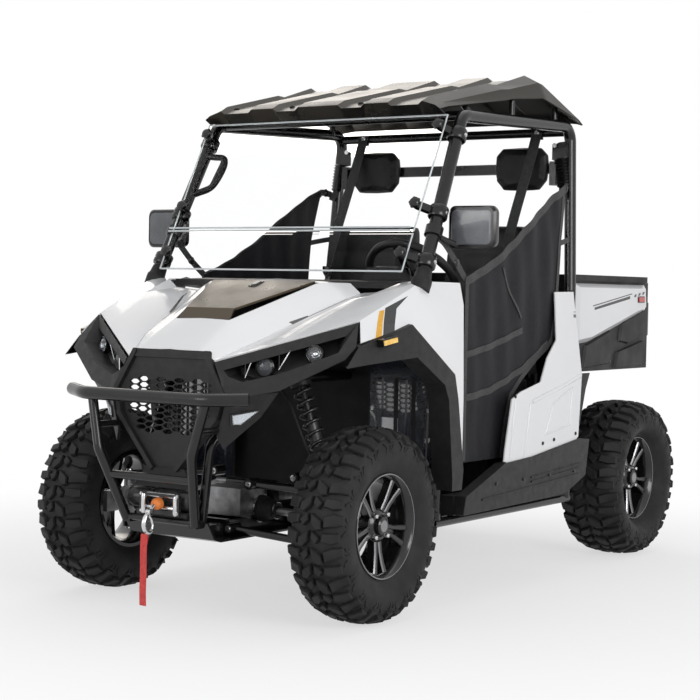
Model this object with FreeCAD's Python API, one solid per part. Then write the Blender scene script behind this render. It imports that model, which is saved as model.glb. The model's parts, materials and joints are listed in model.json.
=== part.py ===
import FreeCAD, Part
import math
import os
from functools import cache

V = FreeCAD.Vector

# Driving dimensions, in millimetres and degrees
TYRE_R = 317.5
WHEELBASE = 1935.5
REAR_AXLE_Y = 1057.5
FRONT_AXLE_Y = REAR_AXLE_Y - WHEELBASE
FRONT_TYRE_W = 205
REAR_TYRE_W = 255
FRONT_WHEEL_X = 532
REAR_WHEEL_X = 507
BEAD_R = 160
BEAD_HALF = 74
KINGPIN_X = 470
SPINDLE_R = 20
SPINDLE_END_X = 570
RUN_GAP = 0.05
PIN_R = 10
LOWER_BALL_Z = TYRE_R - 74.5
UPPER_BALL_Z = TYRE_R + 74.5
CAGE_R = 22.5
FRAME_BOTTOM = 262
FRAME_TUBE = 40
FLOOR_Z = 300
SHEET = 5
BED_HALF = 530
BED_FLOOR_Z = 765
BED_TOP_Z = 1122
BED_FRONT_Y = 560
BED_REAR_Y = 1215
BED_HINGE = (1180, 738)
RAIL_H = 24
GATE_HINGE = (1232, 788)
LID_HINGE = (-1040, 958)
WHEEL_HUB = V(290, -235, 1105)
COLUMN_TILT = 48
PANE_HALF = 520
BUMPER_Y = -1354
RACK_BACK = 96
HITCH_HOLE_R = 9.75
RACK_Z = 400
TUNNEL_TOP = 384


# Plain solids

def block(x0, x1, y0, y1, z0, z1):
    return Part.makeBox(x1 - x0, y1 - y0, z1 - z0, V(x0, y0, z0))


def rod(a, b, r):
    a, b = V(*a), V(*b)
    return Part.makeCylinder(r, (b - a).Length, a, b - a)


def ring(a, b, r_out, r_in):
    return rod(a, b, r_out).cut(rod(a, b, r_in))


def join(solids):
    return solids[0].multiFuse(solids[1:]).removeSplitter()


def trim(piece, carriers, near=None):
    for carrier in carriers:
        piece = piece.cut(carrier)
    if near:
        return min(piece.Solids, key=lambda s: s.CenterOfMass.distanceToPoint(V(*near)))
    return max(piece.Solids, key=lambda s: s.Volume)


def mirrored(shape):
    return shape.mirror(V(0, 0, 0), V(1, 0, 0))


def both(shapes):
    return shapes + [mirrored(s) for s in shapes]


def prism(outline, axis, low, high):
    place = {"x": lambda a, b: V(low, a, b),
             "y": lambda a, b: V(a, low, b),
             "z": lambda a, b: V(a, b, low)}[axis]
    along = {"x": V(1, 0, 0), "y": V(0, 1, 0), "z": V(0, 0, 1)}[axis]
    points = [place(a, b) for a, b in outline]
    face = Part.Face(Part.makePolygon(points + points[:1]))
    return face.extrude(along * (high - low))


def bar(a, b, width, depth, up=(0, 0, 1)):
    a, b, up = V(*a), V(*b), V(*up)
    along = (b - a).normalize()
    side = along.cross(up).normalize() * (width / 2)
    rise = side.cross(along).normalize() * (depth / 2)
    corners = [a + side + rise, a - side + rise, a - side - rise, a + side - rise]
    face = Part.Face(Part.makePolygon(corners + corners[:1]))
    return face.extrude(b - a)


def pipe(points, r, bend):
    points = [V(*p) for p in points]
    edges, start = [], points[0]
    for before, corner, after in zip(points, points[1:], points[2:]):
        back = (before - corner).normalize()
        on = (after - corner).normalize()
        half = back.getAngle(on) / 2
        reach = bend / math.tan(half)
        enter, leave = corner + back * reach, corner + on * reach
        middle = (back + on).normalize()
        crown = corner + middle * (bend / math.sin(half) - bend)
        edges += [Part.makeLine(start, enter), Part.Arc(enter, crown, leave).toShape()]
        start = leave
    edges.append(Part.makeLine(start, points[-1]))
    circle = Part.makeCircle(r, points[0], points[1] - points[0])
    return Part.Wire(edges).makePipeShell([Part.Wire(circle)], True, False)


# Polyhedra from corner lists

def polyhedron(points, faces):
    made = []
    for face in faces:
        for k in range(1, len(face) - 1):
            corners = [points[face[0]], points[face[k]], points[face[k + 1]]]
            made.append(Part.Face(Part.makePolygon(corners + corners[:1])))
    shell = Part.makeShell(made)
    if Part.makeSolid(shell).Volume < 0:
        shell.reverse()
    return Part.makeSolid(shell).removeSplitter()


def skin(named, faces, t):
    names = list(named)
    outer = [V(*named[n]) for n in names]
    faces = [[names.index(n) for n in face] for face in faces]
    normals = [V(0, 0, 0) for n in names]
    for face in faces:
        for k in range(1, len(face) - 1):
            a, b, c = (outer[face[i]] for i in (0, k, k + 1))
            cross = (b - a).cross(c - a)
            for i in (face[0], face[k], face[k + 1]):
                normals[i] = normals[i] + cross
    inner = [p - n.normalize() * t for p, n in zip(outer, normals)]
    count = len(outer)
    edges = [(f[i], f[(i + 1) % len(f)]) for f in faces for i in range(len(f))]
    walls = [[b, a, a + count, b + count] for a, b in edges if (b, a) not in edges]
    backs = [[i + count for i in reversed(fan)] for f in faces for fan in fans(f)]
    fronts = [fan for f in faces for fan in fans(f)]
    return polyhedron(outer + inner, fronts + backs + walls)


def mirrored_skin(half, faces, t):
    whole, sides = dict(half), list(faces)
    for name, (x, y, z) in half.items():
        if x:
            whole[name + "m"] = (-x, y, z)
    for face in faces:
        sides.append([n + "m" if half[n][0] else n for n in face][::-1])
    return skin(whole, sides, t)


def fans(face):
    return [[face[0], face[k], face[k + 1]] for k in range(1, len(face) - 1)]


# Wheels

def tyre(x, y, width, lugs):
    def radius(share):
        return BEAD_R + share * (TYRE_R - BEAD_R)
    half, bead_w = width / 2, BEAD_HALF * 2 / width
    floor = [(0.10, radius(0.87), 0), (0.74, radius(0.83), -0.10), (0.985, radius(0.64), -0.12)]
    top = [(0.10, radius(1), 0), (0.74, radius(0.99), -0.10), (0.985, radius(0.81), -0.12)]
    flank = [(1, radius(0.38), -0.12), (bead_w, BEAD_R + 13, 0),
             (bead_w, (BEAD_R - 1.4) / math.cos(math.pi / lugs / 2), 0)]
    rows, steps = floor + top + flank, 2 * lugs
    points = []
    for side in (-1, 1):
        for w, r, lead in rows:
            for k in range(steps):
                a = math.pi * k / lugs + lead
                points.append(V(x + side * w * half, y + r * math.cos(a), TYRE_R + r * math.sin(a)))

    def at(side, row, k):
        return ((side > 0) * len(rows) + row) * steps + k % steps
    groove, raised, wall = [0, 1, 2, 6, 7, 8], [0, 3, 4, 5, 2, 6, 7, 8], [(0, 1, 4), (0, 4, 3), (1, 2, 5), (1, 5, 4)]
    faces = []
    for k in range(steps):
        faces.append([at(1, 0, k), at(1, 0, k + 1), at(-1, 0, k + 1), at(-1, 0, k)])
        faces.append([at(1, 8, k + 1), at(1, 8, k), at(-1, 8, k), at(-1, 8, k + 1)])
        for side in (-1, 1):
            is_lug, made = (k + (side > 0)) % 2, []
            path = raised if is_lug else groove
            for a, b in zip(path, path[1:]):
                made.append([at(side, a, k), at(side, b, k), at(side, b, k + 1)])
                made.append([at(side, a, k), at(side, b, k + 1), at(side, a, k + 1)])
            if is_lug:
                made += [[at(side, n, k) for n in tri] for tri in wall]
                made += [[at(side, n, k + 1) for n in tri[::-1]] for tri in wall]
            faces += made if side > 0 else [f[::-1] for f in made]
    return polyhedron(points, faces)


def rim(x, y, hub_x):
    def at(px, r=0, a=0):
        return (px, y + r * math.cos(a), TYRE_R + r * math.sin(a))
    edge = BEAD_HALF + 7
    low, high = x - edge, x + edge
    barrel = [ring(at(low), at(high), BEAD_R - 1.5, BEAD_R - 9),
              ring(at(low), at(low + 6), BEAD_R + 10, BEAD_R - 9),
              ring(at(high - 6), at(high), BEAD_R + 10, BEAD_R - 9)]
    face_x = high - 22
    hub = [rod(at(hub_x), at(face_x), 48), rod(at(face_x), at(face_x + 10), 30)]
    spokes = []
    for k in range(5):
        mid = 2 * math.pi * k / 5 - math.pi / 2
        for side in (-1, 1):
            spokes.append(bar(at(face_x - 12, 38, mid + side * 0.22), at(face_x - 4, 112, mid + side * 0.15),
                              18, 26, (1, 0, 0)))
            spokes.append(bar(at(face_x - 5, 106, mid + side * 0.15), at(face_x + 2, BEAD_R - 5, mid + side * 0.185),
                              20, 26, (1, 0, 0)))
    disc = [rod(at(hub_x - 40), at(hub_x - 35), 108), rod(at(hub_x - 40), at(hub_x), 34)]
    bore = rod(at(hub_x - 60), at(SPINDLE_END_X + 3), SPINDLE_R + RUN_GAP)
    return join(barrel + hub + spokes + disc).cut(bore)


# Front knuckle, with the cup for the half shaft's ball

def knuckle():
    z, y = TYRE_R, FRONT_AXLE_Y
    cup = rod((KINGPIN_X - 18, y, z), (KINGPIN_X + 20, y, z), 44)
    spindle = rod((KINGPIN_X + 20, y, z), (SPINDLE_END_X, y, z), SPINDLE_R)
    lower = rod((KINGPIN_X, y, LOWER_BALL_Z + 6), (KINGPIN_X, y, z - 30), 19)
    upper = rod((KINGPIN_X, y, z + 30), (KINGPIN_X, y, UPPER_BALL_Z - 6), 19)
    arm = bar((KINGPIN_X - 6, y + 30, z + 14), (KINGPIN_X - 16, y + RACK_BACK + 12, z + 14), 26, 16)
    pin = rod((KINGPIN_X - 16, y + RACK_BACK, z - 34), (KINGPIN_X - 16, y + RACK_BACK, z + 14), 6)
    caliper = block(KINGPIN_X - 4, KINGPIN_X + 56, y - 120, y - 62, z - 36, z + 36)
    gap = rod((KINGPIN_X + 24, y, z), (KINGPIN_X + 46, y, z), 114)
    bracket = bar((KINGPIN_X, y - 20, z), (KINGPIN_X + 4, y - 80, z), 16, 30)
    ball = Part.makeSphere(24.3, V(KINGPIN_X, y, z))
    mouth = Part.makeCone(27, 15, 20, V(KINGPIN_X - 20, y, z), V(1, 0, 0))
    bores = [rod((KINGPIN_X, y, LOWER_BALL_Z), (KINGPIN_X, y, LOWER_BALL_Z + 28), PIN_R + RUN_GAP),
             rod((KINGPIN_X, y, UPPER_BALL_Z - 28), (KINGPIN_X, y, UPPER_BALL_Z), PIN_R + RUN_GAP)]
    body = join([cup, spindle, lower, upper, arm, pin, caliper.cut(gap), bracket])
    return body.cut(ball).cut(mouth).cut(bores[0]).cut(bores[1])


# Suspension

def front_arms():
    y, tip = FRONT_AXLE_Y, KINGPIN_X
    parts = []
    for reach, root_x, root_z, z, rise in ((170, 128, 285, LOWER_BALL_Z, 1), (125, 172, 430, UPPER_BALL_Z, -1)):
        eye = rod((tip, y, z - 22 * rise), (tip, y, z), 22)
        pin = rod((tip, y, z - 6 * rise), (tip, y, z + 26 * rise), PIN_R)
        legs = [rod((root_x, y + s * reach, root_z), (tip - 12, y + s * 6, z - 14 * rise), 13) for s in (-1, 1)]
        sleeves = [rod((root_x, y + s * reach - 26, root_z), (root_x, y + s * reach + 26, root_z), 18)
                   for s in (-1, 1)]
        parts.append(join([eye, pin] + legs + sleeves))
    seat = block(FRONT_SHOCK[0][0] - 16, FRONT_SHOCK[0][0] + 16, y - 44, y + 44, 398, FRONT_SHOCK[0][2] - 15)
    return [parts[0], parts[1].fuse(seat).removeSplitter()]


@cache
def rear_arms():
    y, tip = REAR_AXLE_Y, 400
    parts = []
    for reach, root_x, root_z, z in ((150, 128, 285, 252), (100, 172, 430, 384)):
        eye = rod((tip, y - 30, z), (tip, y + 30, z), 16)
        legs = [rod((root_x, y + s * reach, root_z), (tip, y + s * 22, z), 13) for s in (-1, 1)]
        sleeves = [rod((root_x, y + s * reach - 26, root_z), (root_x, y + s * reach + 26, root_z), 18)
                   for s in (-1, 1)]
        parts.append(join([eye] + legs + sleeves))
    seat = block(REAR_SHOCK[0][0] - 16, REAR_SHOCK[0][0] + 16, y - 56, y + 56, 390, REAR_SHOCK[0][2] - 15)
    return [parts[0], parts[1].fuse(seat).removeSplitter()]


@cache
def rear_knuckle():
    y, z = REAR_AXLE_Y, TYRE_R
    carrier = rod((392, y, z), (430, y, z), 48)
    post = block(388, 414, y - 26, y + 26, 256, 380)
    spindle = rod((430, y, z), (SPINDLE_END_X, y, z), SPINDLE_R)
    body = trim(join([carrier, post, spindle]), rear_arms(), (450, y, z))
    return body.cut(rod((380, y, z), (423, y, z), 16.3))


def shock(foot, head):
    foot, head = V(*foot), V(*head)
    along = head - foot

    def at(share):
        return tuple(foot + along * share)
    eye_low = rod(tuple(foot - V(0, 16, 0)), tuple(foot + V(0, 16, 0)), 15)
    eye_high = rod(tuple(head - V(0, 16, 0)), tuple(head + V(0, 16, 0)), 15)
    body = [rod(at(0), at(0.55), 20), rod(at(0.5), at(1), 9), rod(at(0.16), at(0.20), 37),
            rod(at(0.88), at(0.92), 37)]
    return join([eye_low, eye_high] + body)


def coil(foot, head):
    foot, head = V(*foot), V(*head)
    along = head - foot
    turns, sides, radius, wire = 7, 5, 29, 5.5
    steps, lift = 10 * turns, along.Length * 0.68 - 2 * wire
    points, faces = [], []
    for k in range(steps + 1):
        a = 2 * math.pi * k * turns / steps
        for m in range(sides):
            b = 2 * math.pi * m / sides
            r = radius + wire * math.cos(b)
            points.append(V(r * math.cos(a), r * math.sin(a), lift * k / steps + wire * math.sin(b)))
    for k in range(steps):
        for m in range(sides):
            here, there = k * sides + m, k * sides + (m + 1) % sides
            faces.append([here, there, there + sides, here + sides])
    faces += [list(range(sides))[::-1], [steps * sides + m for m in range(sides)]]
    wound = polyhedron(points, faces)
    wound.Placement = FreeCAD.Placement(foot + along * (0.2 + wire / along.Length), FreeCAD.Rotation(V(0, 0, 1), along))
    return wound


def half_shaft(y, inner_x, end_x, ball_r):
    z = TYRE_R
    shaft = rod((inner_x, y, z + 16), (end_x, y, z), 13 if ball_r else 14)
    inner_boot = Part.makeCone(38, 20, 60, V(inner_x, y, z + 16), V(1, 0, 0))
    outer_boot = Part.makeCone(20, 34, 50, V(end_x - 100, y, z + 3), V(1, 0, 0))
    parts = [shaft, inner_boot, outer_boot]
    if ball_r:
        parts.append(Part.makeSphere(ball_r, V(end_x, y, z)))
    return join(parts)


def axles():
    feet = [block(-100, 100, y - 40, y + 40, FRAME_BOTTOM + FRAME_TUBE, 312) for y in (FRONT_AXLE_Y, REAR_AXLE_Y)]
    front = join([feet[0], block(-78, 78, FRONT_AXLE_Y - 70, FRONT_AXLE_Y + 70, 310, 400),
                  rod((-110, FRONT_AXLE_Y, 333), (110, FRONT_AXLE_Y, 333), 30)])
    rear = join([feet[1], block(-90, 90, REAR_AXLE_Y - 80, REAR_AXLE_Y + 80, 306, 420),
                 rod((-120, REAR_AXLE_Y, 333), (120, REAR_AXLE_Y, 333), 30)])
    shaft = rod((0, FRONT_AXLE_Y + 70, 345), (0, 590, 345), 18)
    return [front, rear, shaft] + both([trim(half_shaft(FRONT_AXLE_Y, 110, KINGPIN_X, 24), [front]),
                                        trim(half_shaft(REAR_AXLE_Y, 120, 423, 0), [rear, rear_knuckle()])])


FRONT_SHOCK = ((385, FRONT_AXLE_Y, 438), (255, FRONT_AXLE_Y, 790))
REAR_SHOCK = ((328, REAR_AXLE_Y, 430), (250, REAR_AXLE_Y, 716))


# Frame, cage and bumper

@cache
def main_frame():
    low, high = FRAME_BOTTOM, FRAME_BOTTOM + FRAME_TUBE
    rails = [block(s * 90 - 20, s * 90 + 20, -1180, 1215, low, high) for s in (-1, 1)]
    cross = [block(-560, 560, y - 18, y + 18, low + 6, FLOOR_Z + 4) for y in (-430, 20, 470)]
    cross += [block(-110, 110, y - 16, y + 16, low, high) for y in (-1150, -700, 700, 1190)]
    sides = both([rod((556, -502, 284), (556, 494, 284), 17)])
    pins = [block(-104, 104, y - 12, y + 12, high - 20, high + 10)
            for y in (FRONT_AXLE_Y - 170, FRONT_AXLE_Y + 170, REAR_AXLE_Y - 150, REAR_AXLE_Y + 150)]
    ladder = join(rails + cross + sides + pins)
    return [ladder, trim(skid_plate(), [ladder])]


def arm_posts(y, reach):
    posts = []
    for s in (-1, 1):
        low, high = y + s * reach - 9, y + s * reach + 9
        posts.append(block(-154, 154, low, high, 418, 442))
        posts += both([block(62, 86, low, high, FRAME_BOTTOM + FRAME_TUBE, 430)])
    return posts


def shock_rod(head):
    x, y, z = head
    eyes = [rod((s * x, y - 16, z), (s * x, y + 16, z), 15) for s in (-1, 1)]
    return trim(rod((14 - x, y, z), (x - 14, y, z), 11), eyes)


@cache
def front_subframe():
    nose = both([pipe([(90, -1166, 290), (122, -1166, 560), (190, -980, 770), (190, -486, 770)], 16, 60)])
    tower = [shock_rod(FRONT_SHOCK[1]), block(-206, 206, FRONT_AXLE_Y - 16, FRONT_AXLE_Y + 16, 754, 790),
             rod((-190, -500, 770), (190, -500, 770), 16)]
    legs = both([block(134, 154, FRONT_AXLE_Y - 134, FRONT_AXLE_Y - 116, 430, 760)])
    return trim(join(nose + tower + legs + arm_posts(FRONT_AXLE_Y, 125)), main_frame())


@cache
def rear_subframe():
    y, z = BED_HINGE
    low = both([pipe([(200, 560, 292), (200, 560, 698), (200, 1192, 698)], 16, 70),
                rod((200, 1176, 698), (90, 1196, 284), 14), rod((90, 560, 290), (200, 560, 310), 16)])
    cross = [shock_rod(REAR_SHOCK[1]), rod((-190, y, 698), (190, y, 698), 14)]
    rests = both([block(190, 210, 630, 650, 705, BED_FLOOR_Z - 9)])
    posts = arm_posts(REAR_AXLE_Y, 100)
    legs = both([block(134, 154, REAR_AXLE_Y - 109, REAR_AXLE_Y - 91, 430, 700),
                 block(134, 200, REAR_AXLE_Y - 109, REAR_AXLE_Y - 91, 690, 706)])
    return trim(join(low + cross + rests + posts + legs + both([hinge_post()])), main_frame())


def hinge_post():
    y, z = BED_HINGE
    post = block(176, 190, y - 16, y + 16, z - 44, z + 12)
    return join([post, rod((176, y, z), (238, y, z), 10)])


def skid_plate():
    profile = [(-1240, 322), (-1204, 266), (-1170, 256), (-486, 256), (-486, 262.5), (-1168, 262.5),
               (-1198, 272), (-1234, 324)]
    return prism(profile, "x", -175, 175)


PILLAR_TOP = (536, -329, 1677)
PILLAR_FOOT = (573, -630, 1102)
HOOP_TOP = (530, 504, 1712)
HOOP_FOOT = (560, 475, 1085)


def hitch():
    y = BED_REAR_Y + 5
    plate = block(-40, 40, y - 4, y + 84, 276, 288).cut(rod((0, y + 56, 270), (0, y + 56, 294), HITCH_HOLE_R))
    return trim(plate, main_frame())


@cache
def cage_side():
    hoop = pipe([(548, -480, 286), (548, -480, 800), PILLAR_FOOT, PILLAR_TOP, HOOP_TOP, HOOP_FOOT, (556, 470, 286)],
                CAGE_R, 55)
    return trim(hoop, main_frame())


@cache
def cage_sides():
    handle = pipe([(-541, -394, 1560), (-455, -380, 1552), (-470, -442, 1440), (-553, -460, 1410)], 11, 22)
    return [cage_side(), join([mirrored(cage_side()), handle])]


@cache
def crossbars():
    bars = [rod((-540, -298, 1682), (540, -298, 1682), 17), rod((-540, 492, 1692), (540, 492, 1692), 17),
            rod((-570, -592, 1030), (570, -592, 1030), 15), rod((-570, 470, 980), (570, 470, 980), 15),
            bar((-550, 503, 1554), (550, 503, 1554), 24, 40)]
    return [trim(b, cage_sides()) for b in bars]


def roll_cage():
    return Part.makeCompound(cage_sides() + crossbars())


def roof_mounts():
    posts = []
    for x, y, z, lean in ((530, -262, 1686, 150), (516, 60, 1690, 0), (514, 400, 1702, 0)):
        post = rod((x, y, z), (x - lean, y, z + 200), 12)
        posts.append(trim(post, [roof(), cage_side()], (x - lean / 6, y, z + 30)))
    return both(posts)


def bumper():
    tube, upright = 21, 16
    top = pipe([(-365, -1285, 727), (-250, BUMPER_Y, 722), (250, BUMPER_Y, 722), (365, -1285, 727)], tube, 110)
    legs = both([pipe([(236, BUMPER_Y + 22, 722), (192, -1346, 545), (142, -1262, 318)], upright, 60)])
    cross = [rod((-173, -1314, 462), (173, -1314, 462), 13), rod((-140, -1262, 322), (140, -1262, 322), 10)]
    stays = both([rod((212, -1338, 620), (207, -1244, 620), 11)])
    feet = both([block(122, 154, -1270, -1232, 306, 330)])
    body = join([top] + legs + cross + stays + feet)
    return trim(body, main_frame() + grille())


# Winch with fairlead, rope stop and hook

@cache
def winch():
    y, z, face = -1222, 384, -1268
    drum = join([rod((-64, y, z), (64, y, z), 24), rod((-176, y, z), (-62, y, z), 32),
                 rod((62, y, z), (112, y, z), 35), block(-110, 100, y - 30, y + 30, 318, 356),
                 block(-72, 88, face, y - 20, 334, 342)])
    drum = trim(drum, main_frame() + [front_subframe()])
    rollers = [rod((x, face - 9, 342), (x, face - 9, 404), 9) for x in (-58, 74)]
    rollers += [rod((-58, face + 1, z + s * 20), (74, face + 1, z + s * 20), 9) for s in (-1, 1)]
    frame = block(-74, 90, face - 12, face, 342, 408).cut(block(-48, 64, face - 20, face + 20, 360, 400))
    return [drum, join([frame] + rollers)]


def hook():
    stop = trim(rod((10, -1274, 380), (10, -1306, 374), 20), winch())
    shank = rod((10, -1302, 376), (10, -1330, 350), 7)
    bend = pipe([(10, -1326, 350), (10, -1352, 330), (10, -1352, 296), (10, -1326, 290), (10, -1316, 310)],
                6, 9)
    return [stop, trim(join([shank, bend]), [stop])]


def strap():
    profile = [(-13, 0), (13, 0), (13, 2), (-13, 2)]
    wire = Part.makePolygon([V(10 + a, -1352 - b, 300) for a, b in profile + profile[:1]])
    return trim(Part.Face(wire).extrude(V(0, 8, -242)), hook(), (10, -1348, 100))


# Front body

HOOD = {
    "C0": (0, -1228, 870), "R0": (139, -1219, 864), "V0": (176, -1221, 838),
    "C1": (0, -1066, 968), "L1": (113, -1066, 965), "R1": (176, -1066, 940), "V1": (246, -1066, 906),
    "L3": (226, -730, 1092), "R3": (284, -734, 1064), "V3": (328, -734, 1034),
    "C3": (0, -730, 1096), "C4": (0, -650, 1104), "R4": (302, -650, 1092), "V4": (346, -650, 1058),
}

FENDER = {
    "V0": (176, -1221, 838), "V1": (246, -1066, 906), "V3": (328, -734, 1034), "V4": (346, -650, 1058),
    "K4": (467, -640, 1068), "F4": (502, -640, 1098), "E1": (400, -1059, 916), "E2": (548, -955, 972),
    "F2": (468, -810, 1046), "S4": (580, -640, 1102), "E3": (588, -1008, 904), "E4": (634, -798, 957),
    "E5": (640, -536, 792), "E6": (640, -513, 708), "E7": (640, -474, 470), "G0": (600, -427, 1100),
    "G1": (614, -423, 1025), "G2": (622, -424, 703), "G3": (626, -432, 470), "T0": (508, -430, 1100),
}

FENDER_FACES = ["V0 E1 V1", "V1 E1 F2", "E1 E2 F2", "V1 F2 V3", "V3 F2 K4", "V3 K4 V4", "F2 F4 K4",
                "F2 E2 S4", "F2 S4 F4", "E2 E3 E4", "E2 E4 S4", "S4 E4 G1", "S4 G1 G0", "E4 E5 G1",
                "E5 G2 G1", "E5 E6 G2", "E6 E7 G3", "E6 G3 G2", "F4 S4 G0", "F4 G0 T0"]


@cache
def hood():
    half = ["C0 R0 L1", "C0 L1 C1", "R0 R1 L1", "R0 V0 V1", "R0 V1 R1", "L1 R1 R3", "L1 R3 L3",
            "R1 V1 V3", "R1 V3 R3", "L3 R3 R4", "C3 L3 R4", "C3 R4 C4", "R3 V3 V4", "R3 V4 R4"]
    return mirrored_skin(HOOD, [f.split() for f in half], SHEET)


@cache
def fenders():
    panel = skin(FENDER, [f.split() for f in FENDER_FACES], SHEET)
    return both([trim(panel, [hood(), roll_cage()])])


def hood_lid():
    points = {"a": (-108, -1058, 966), "b": (108, -1058, 966), "c": (101, -1026, 1002), "d": (-101, -1026, 1002),
              "e": (218, -738, 1096), "f": (-218, -738, 1096)}
    lid = skin(points, ["a b c d".split(), "d c e f".split()], 8)
    y, z = LID_HINGE
    webs = both([join([rod((54, y, z), (80, y, z), 7), bar((67, y, z), (67, y - 10, z + 9), 26, 8, (0, 1, 1))])])
    return join([lid] + webs).cut(rod((-90, y, z), (90, y, z), 3 + RUN_GAP))


def lid_tray():
    t = 3
    outline = [(-120, -1072), (120, -1072), (234, -724), (-234, -724)]
    inside = [(x - math.copysign(t, x), y + math.copysign(t, -900 - y)) for x, y in outline]
    tray = prism(outline, "z", 880, 1110).cut(prism(inside, "z", 880 + t, 1120))
    y, z = LID_HINGE
    ears = both([join([block(86, 94, y - 7, y + 9, 880, z + 6), rod((60, y, z), (90, y, z), 3)])])
    return trim(join([tray] + ears), [hood()], (0, -900, 900))


@cache
def flare():
    named = {
        "A0": (588, -1018, 892), "A1": (646, -798, 962), "A2": (652, -533, 794), "A3": (652, -508, 710),
        "A4": (650, -462, 470), "A5": (646, -464, 402),
        "B0": (592, -1085, 826), "B1": (612, -1004, 836), "B2": (650, -770, 856), "B3": (652, -598, 762),
        "B4": (652, -570, 710), "B5": (650, -534, 442), "B6": (646, -528, 402),
        "Z0": (568, -1014, 896), "Z1": (622, -796, 964), "Z2": (626, -530, 797), "Z3": (626, -504, 711),
        "Z4": (624, -460, 470), "Z5": (622, -462, 402),
        "D0": (580, -1078, 828), "D1": (566, -1000, 840), "D2": (566, -768, 862), "D3": (566, -594, 768),
        "D4": (566, -564, 712), "D5": (566, -528, 442), "D6": (566, -522, 402),
    }
    faces = ["Z0 A0 A1", "Z0 A1 Z1", "Z1 A1 A2", "Z1 A2 Z2", "Z2 A2 A3", "Z2 A3 Z3", "Z3 A3 A4", "Z3 A4 Z4",
             "Z4 A4 A5", "Z4 A5 Z5", "A0 B0 B1", "A0 B1 A1", "A1 B1 B2", "A1 B2 A2", "A2 B2 B3", "A2 B3 A3", "A3 B3 B4",
             "A3 B4 A4", "A4 B4 B5", "A4 B5 A5", "A5 B5 B6",
             "B0 D0 D1", "B0 D1 B1", "B1 D1 D2", "B1 D2 B2", "B2 D2 D3", "B2 D3 B3", "B3 D3 D4",
             "B3 D4 B4", "B4 D4 D5", "B4 D5 B5", "B5 D5 D6", "B5 D6 B6"]
    return trim(skin(named, [f.split() for f in faces], 4), [fenders()[0], fascia()[0]])


def splash_panels():
    y = -480 - CAGE_R
    front = prism([(292, 350), (560, 350), (560, 786), (512, 812), (512, 870), (292, 850)], "y", y - 6, y + 1)
    ribs = [block(x, x + 14, y - 12, y - 6, 420, 770) for x in (330, 400, 470)]
    rear = prism([(480, 520), (560, 560), (606, 700), (640, 762), (480, 762)], "x", 566, 572)
    return both([trim(join([front] + ribs), [roll_cage()]), trim(rear, [roll_cage()])])


@cache
def fascia():
    outer = {"A0": (181, -1225, 832), "A1": (547, -960, 964), "A2": (580, -1020, 888), "A3": (568, -1062, 850),
             "A4": (390, -1162, 749), "A5": (262, -1214, 721), "A6": (222, -1228, 740),
             "B0": (204, -1212, 812), "B1": (520, -990, 924), "B2": (536, -1050, 868), "B3": (388, -1148, 800),
             "B4": (272, -1196, 770), "B5": (226, -1214, 786),
             "C0": (210, -1130, 816), "C1": (480, -964, 914), "C2": (496, -1000, 862), "C3": (370, -1085, 800),
             "C4": (268, -1118, 778), "C5": (222, -1134, 790)}
    faces = ["A0 B0 B1", "A0 B1 A1", "A1 B1 B2", "A1 B2 A2", "A2 B2 A3", "A3 B2 B3", "A3 B3 A4", "A4 B3 B4",
             "A4 B4 A5", "A5 B4 B5", "A5 B5 A6", "A6 B5 B0", "A6 B0 A0",
             "B0 C0 C1", "B0 C1 B1", "B1 C1 C2", "B1 C2 B2", "B2 C2 C3", "B2 C3 B3", "B3 C3 C4", "B3 C4 B4",
             "B4 C4 C5", "B4 C5 B5", "B5 C5 C0", "B5 C0 B0",
             "C0 C5 C4", "C0 C4 C3", "C0 C3 C1", "C1 C3 C2"]
    cheek = {"A": (240, -1236, 722), "B": (386, -1160, 746), "C": (318, -1160, 664), "D": (222, -1226, 560),
             "E": (205, -1240, 600)}
    cheek_faces = ["A E D", "A D C", "A C B"]
    lamp_side = skin(outer, [f.split()[::-1] for f in faces], SHEET)
    side = join([lamp_side, skin(cheek, [f.split() for f in cheek_faces], 10)])
    return both([trim(side, [hood(), fenders()[0]])])


GRILLE = [(48, 483), (200, 656), (220, 738), (148, 860)]


def grille_half(z):
    for (w0, z0), (w1, z1) in zip(GRILLE, GRILLE[1:]):
        if z0 <= z <= z1:
            return w0 + (w1 - w0) * (z - z0) / (z1 - z0)
    return 0


# Honeycomb of wide flat slots, bounded by the frame, over a plain keel

@cache
def grille():
    back, front, web, a, b = -1230, -1240, 4.5, 22, 7.5
    low, high = 596, 786
    plate = prism(GRILLE[::-1] + [(-x, z) for x, z in GRILLE], "y", front, back)
    slots, rise = [], 2 * b + web
    for col in range(-6, 7):
        x = col * (1.5 * a + web)
        for row in range(12):
            z = low + b + (row + (col % 2) / 2) * rise
            if z + b < high and abs(x) + a < grille_half(z) - 18:
                slots.append(prism([(x - a, z), (x - a / 2, z - b), (x + a / 2, z - b), (x + a, z),
                                    (x + a / 2, z + b), (x - a / 2, z + b)], "y", front - 10, back + 10))
    plate = plate.cut(Part.makeCompound(slots))
    x, z = GRILLE[-1]
    frame = [bar((-x, front, z - 6), (x, front, z - 6), 16, 26)]
    for (x0, z0), (x1, z1) in zip(GRILLE, GRILLE[1:]):
        deep = 30 if z0 < low else 24
        for s in (-1, 1):
            frame.append(bar((s * x0, front, z0), (s * x1, front, z1), 16, deep, (0, 1, 0)))
            frame.append(rod((s * x1, front - deep / 2, z1), (s * x1, front + deep / 2, z1), 8))
    body = join([plate] + frame)
    body.rotate(V(0, front, GRILLE[0][1]), V(1, 0, 0), -3)
    apron = prism([(-80, 488), (80, 488), (128, 424), (-128, 424)], "y", -1246, -1238)
    return [trim(join([body, apron]), [hood()] + fascia())]


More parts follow.
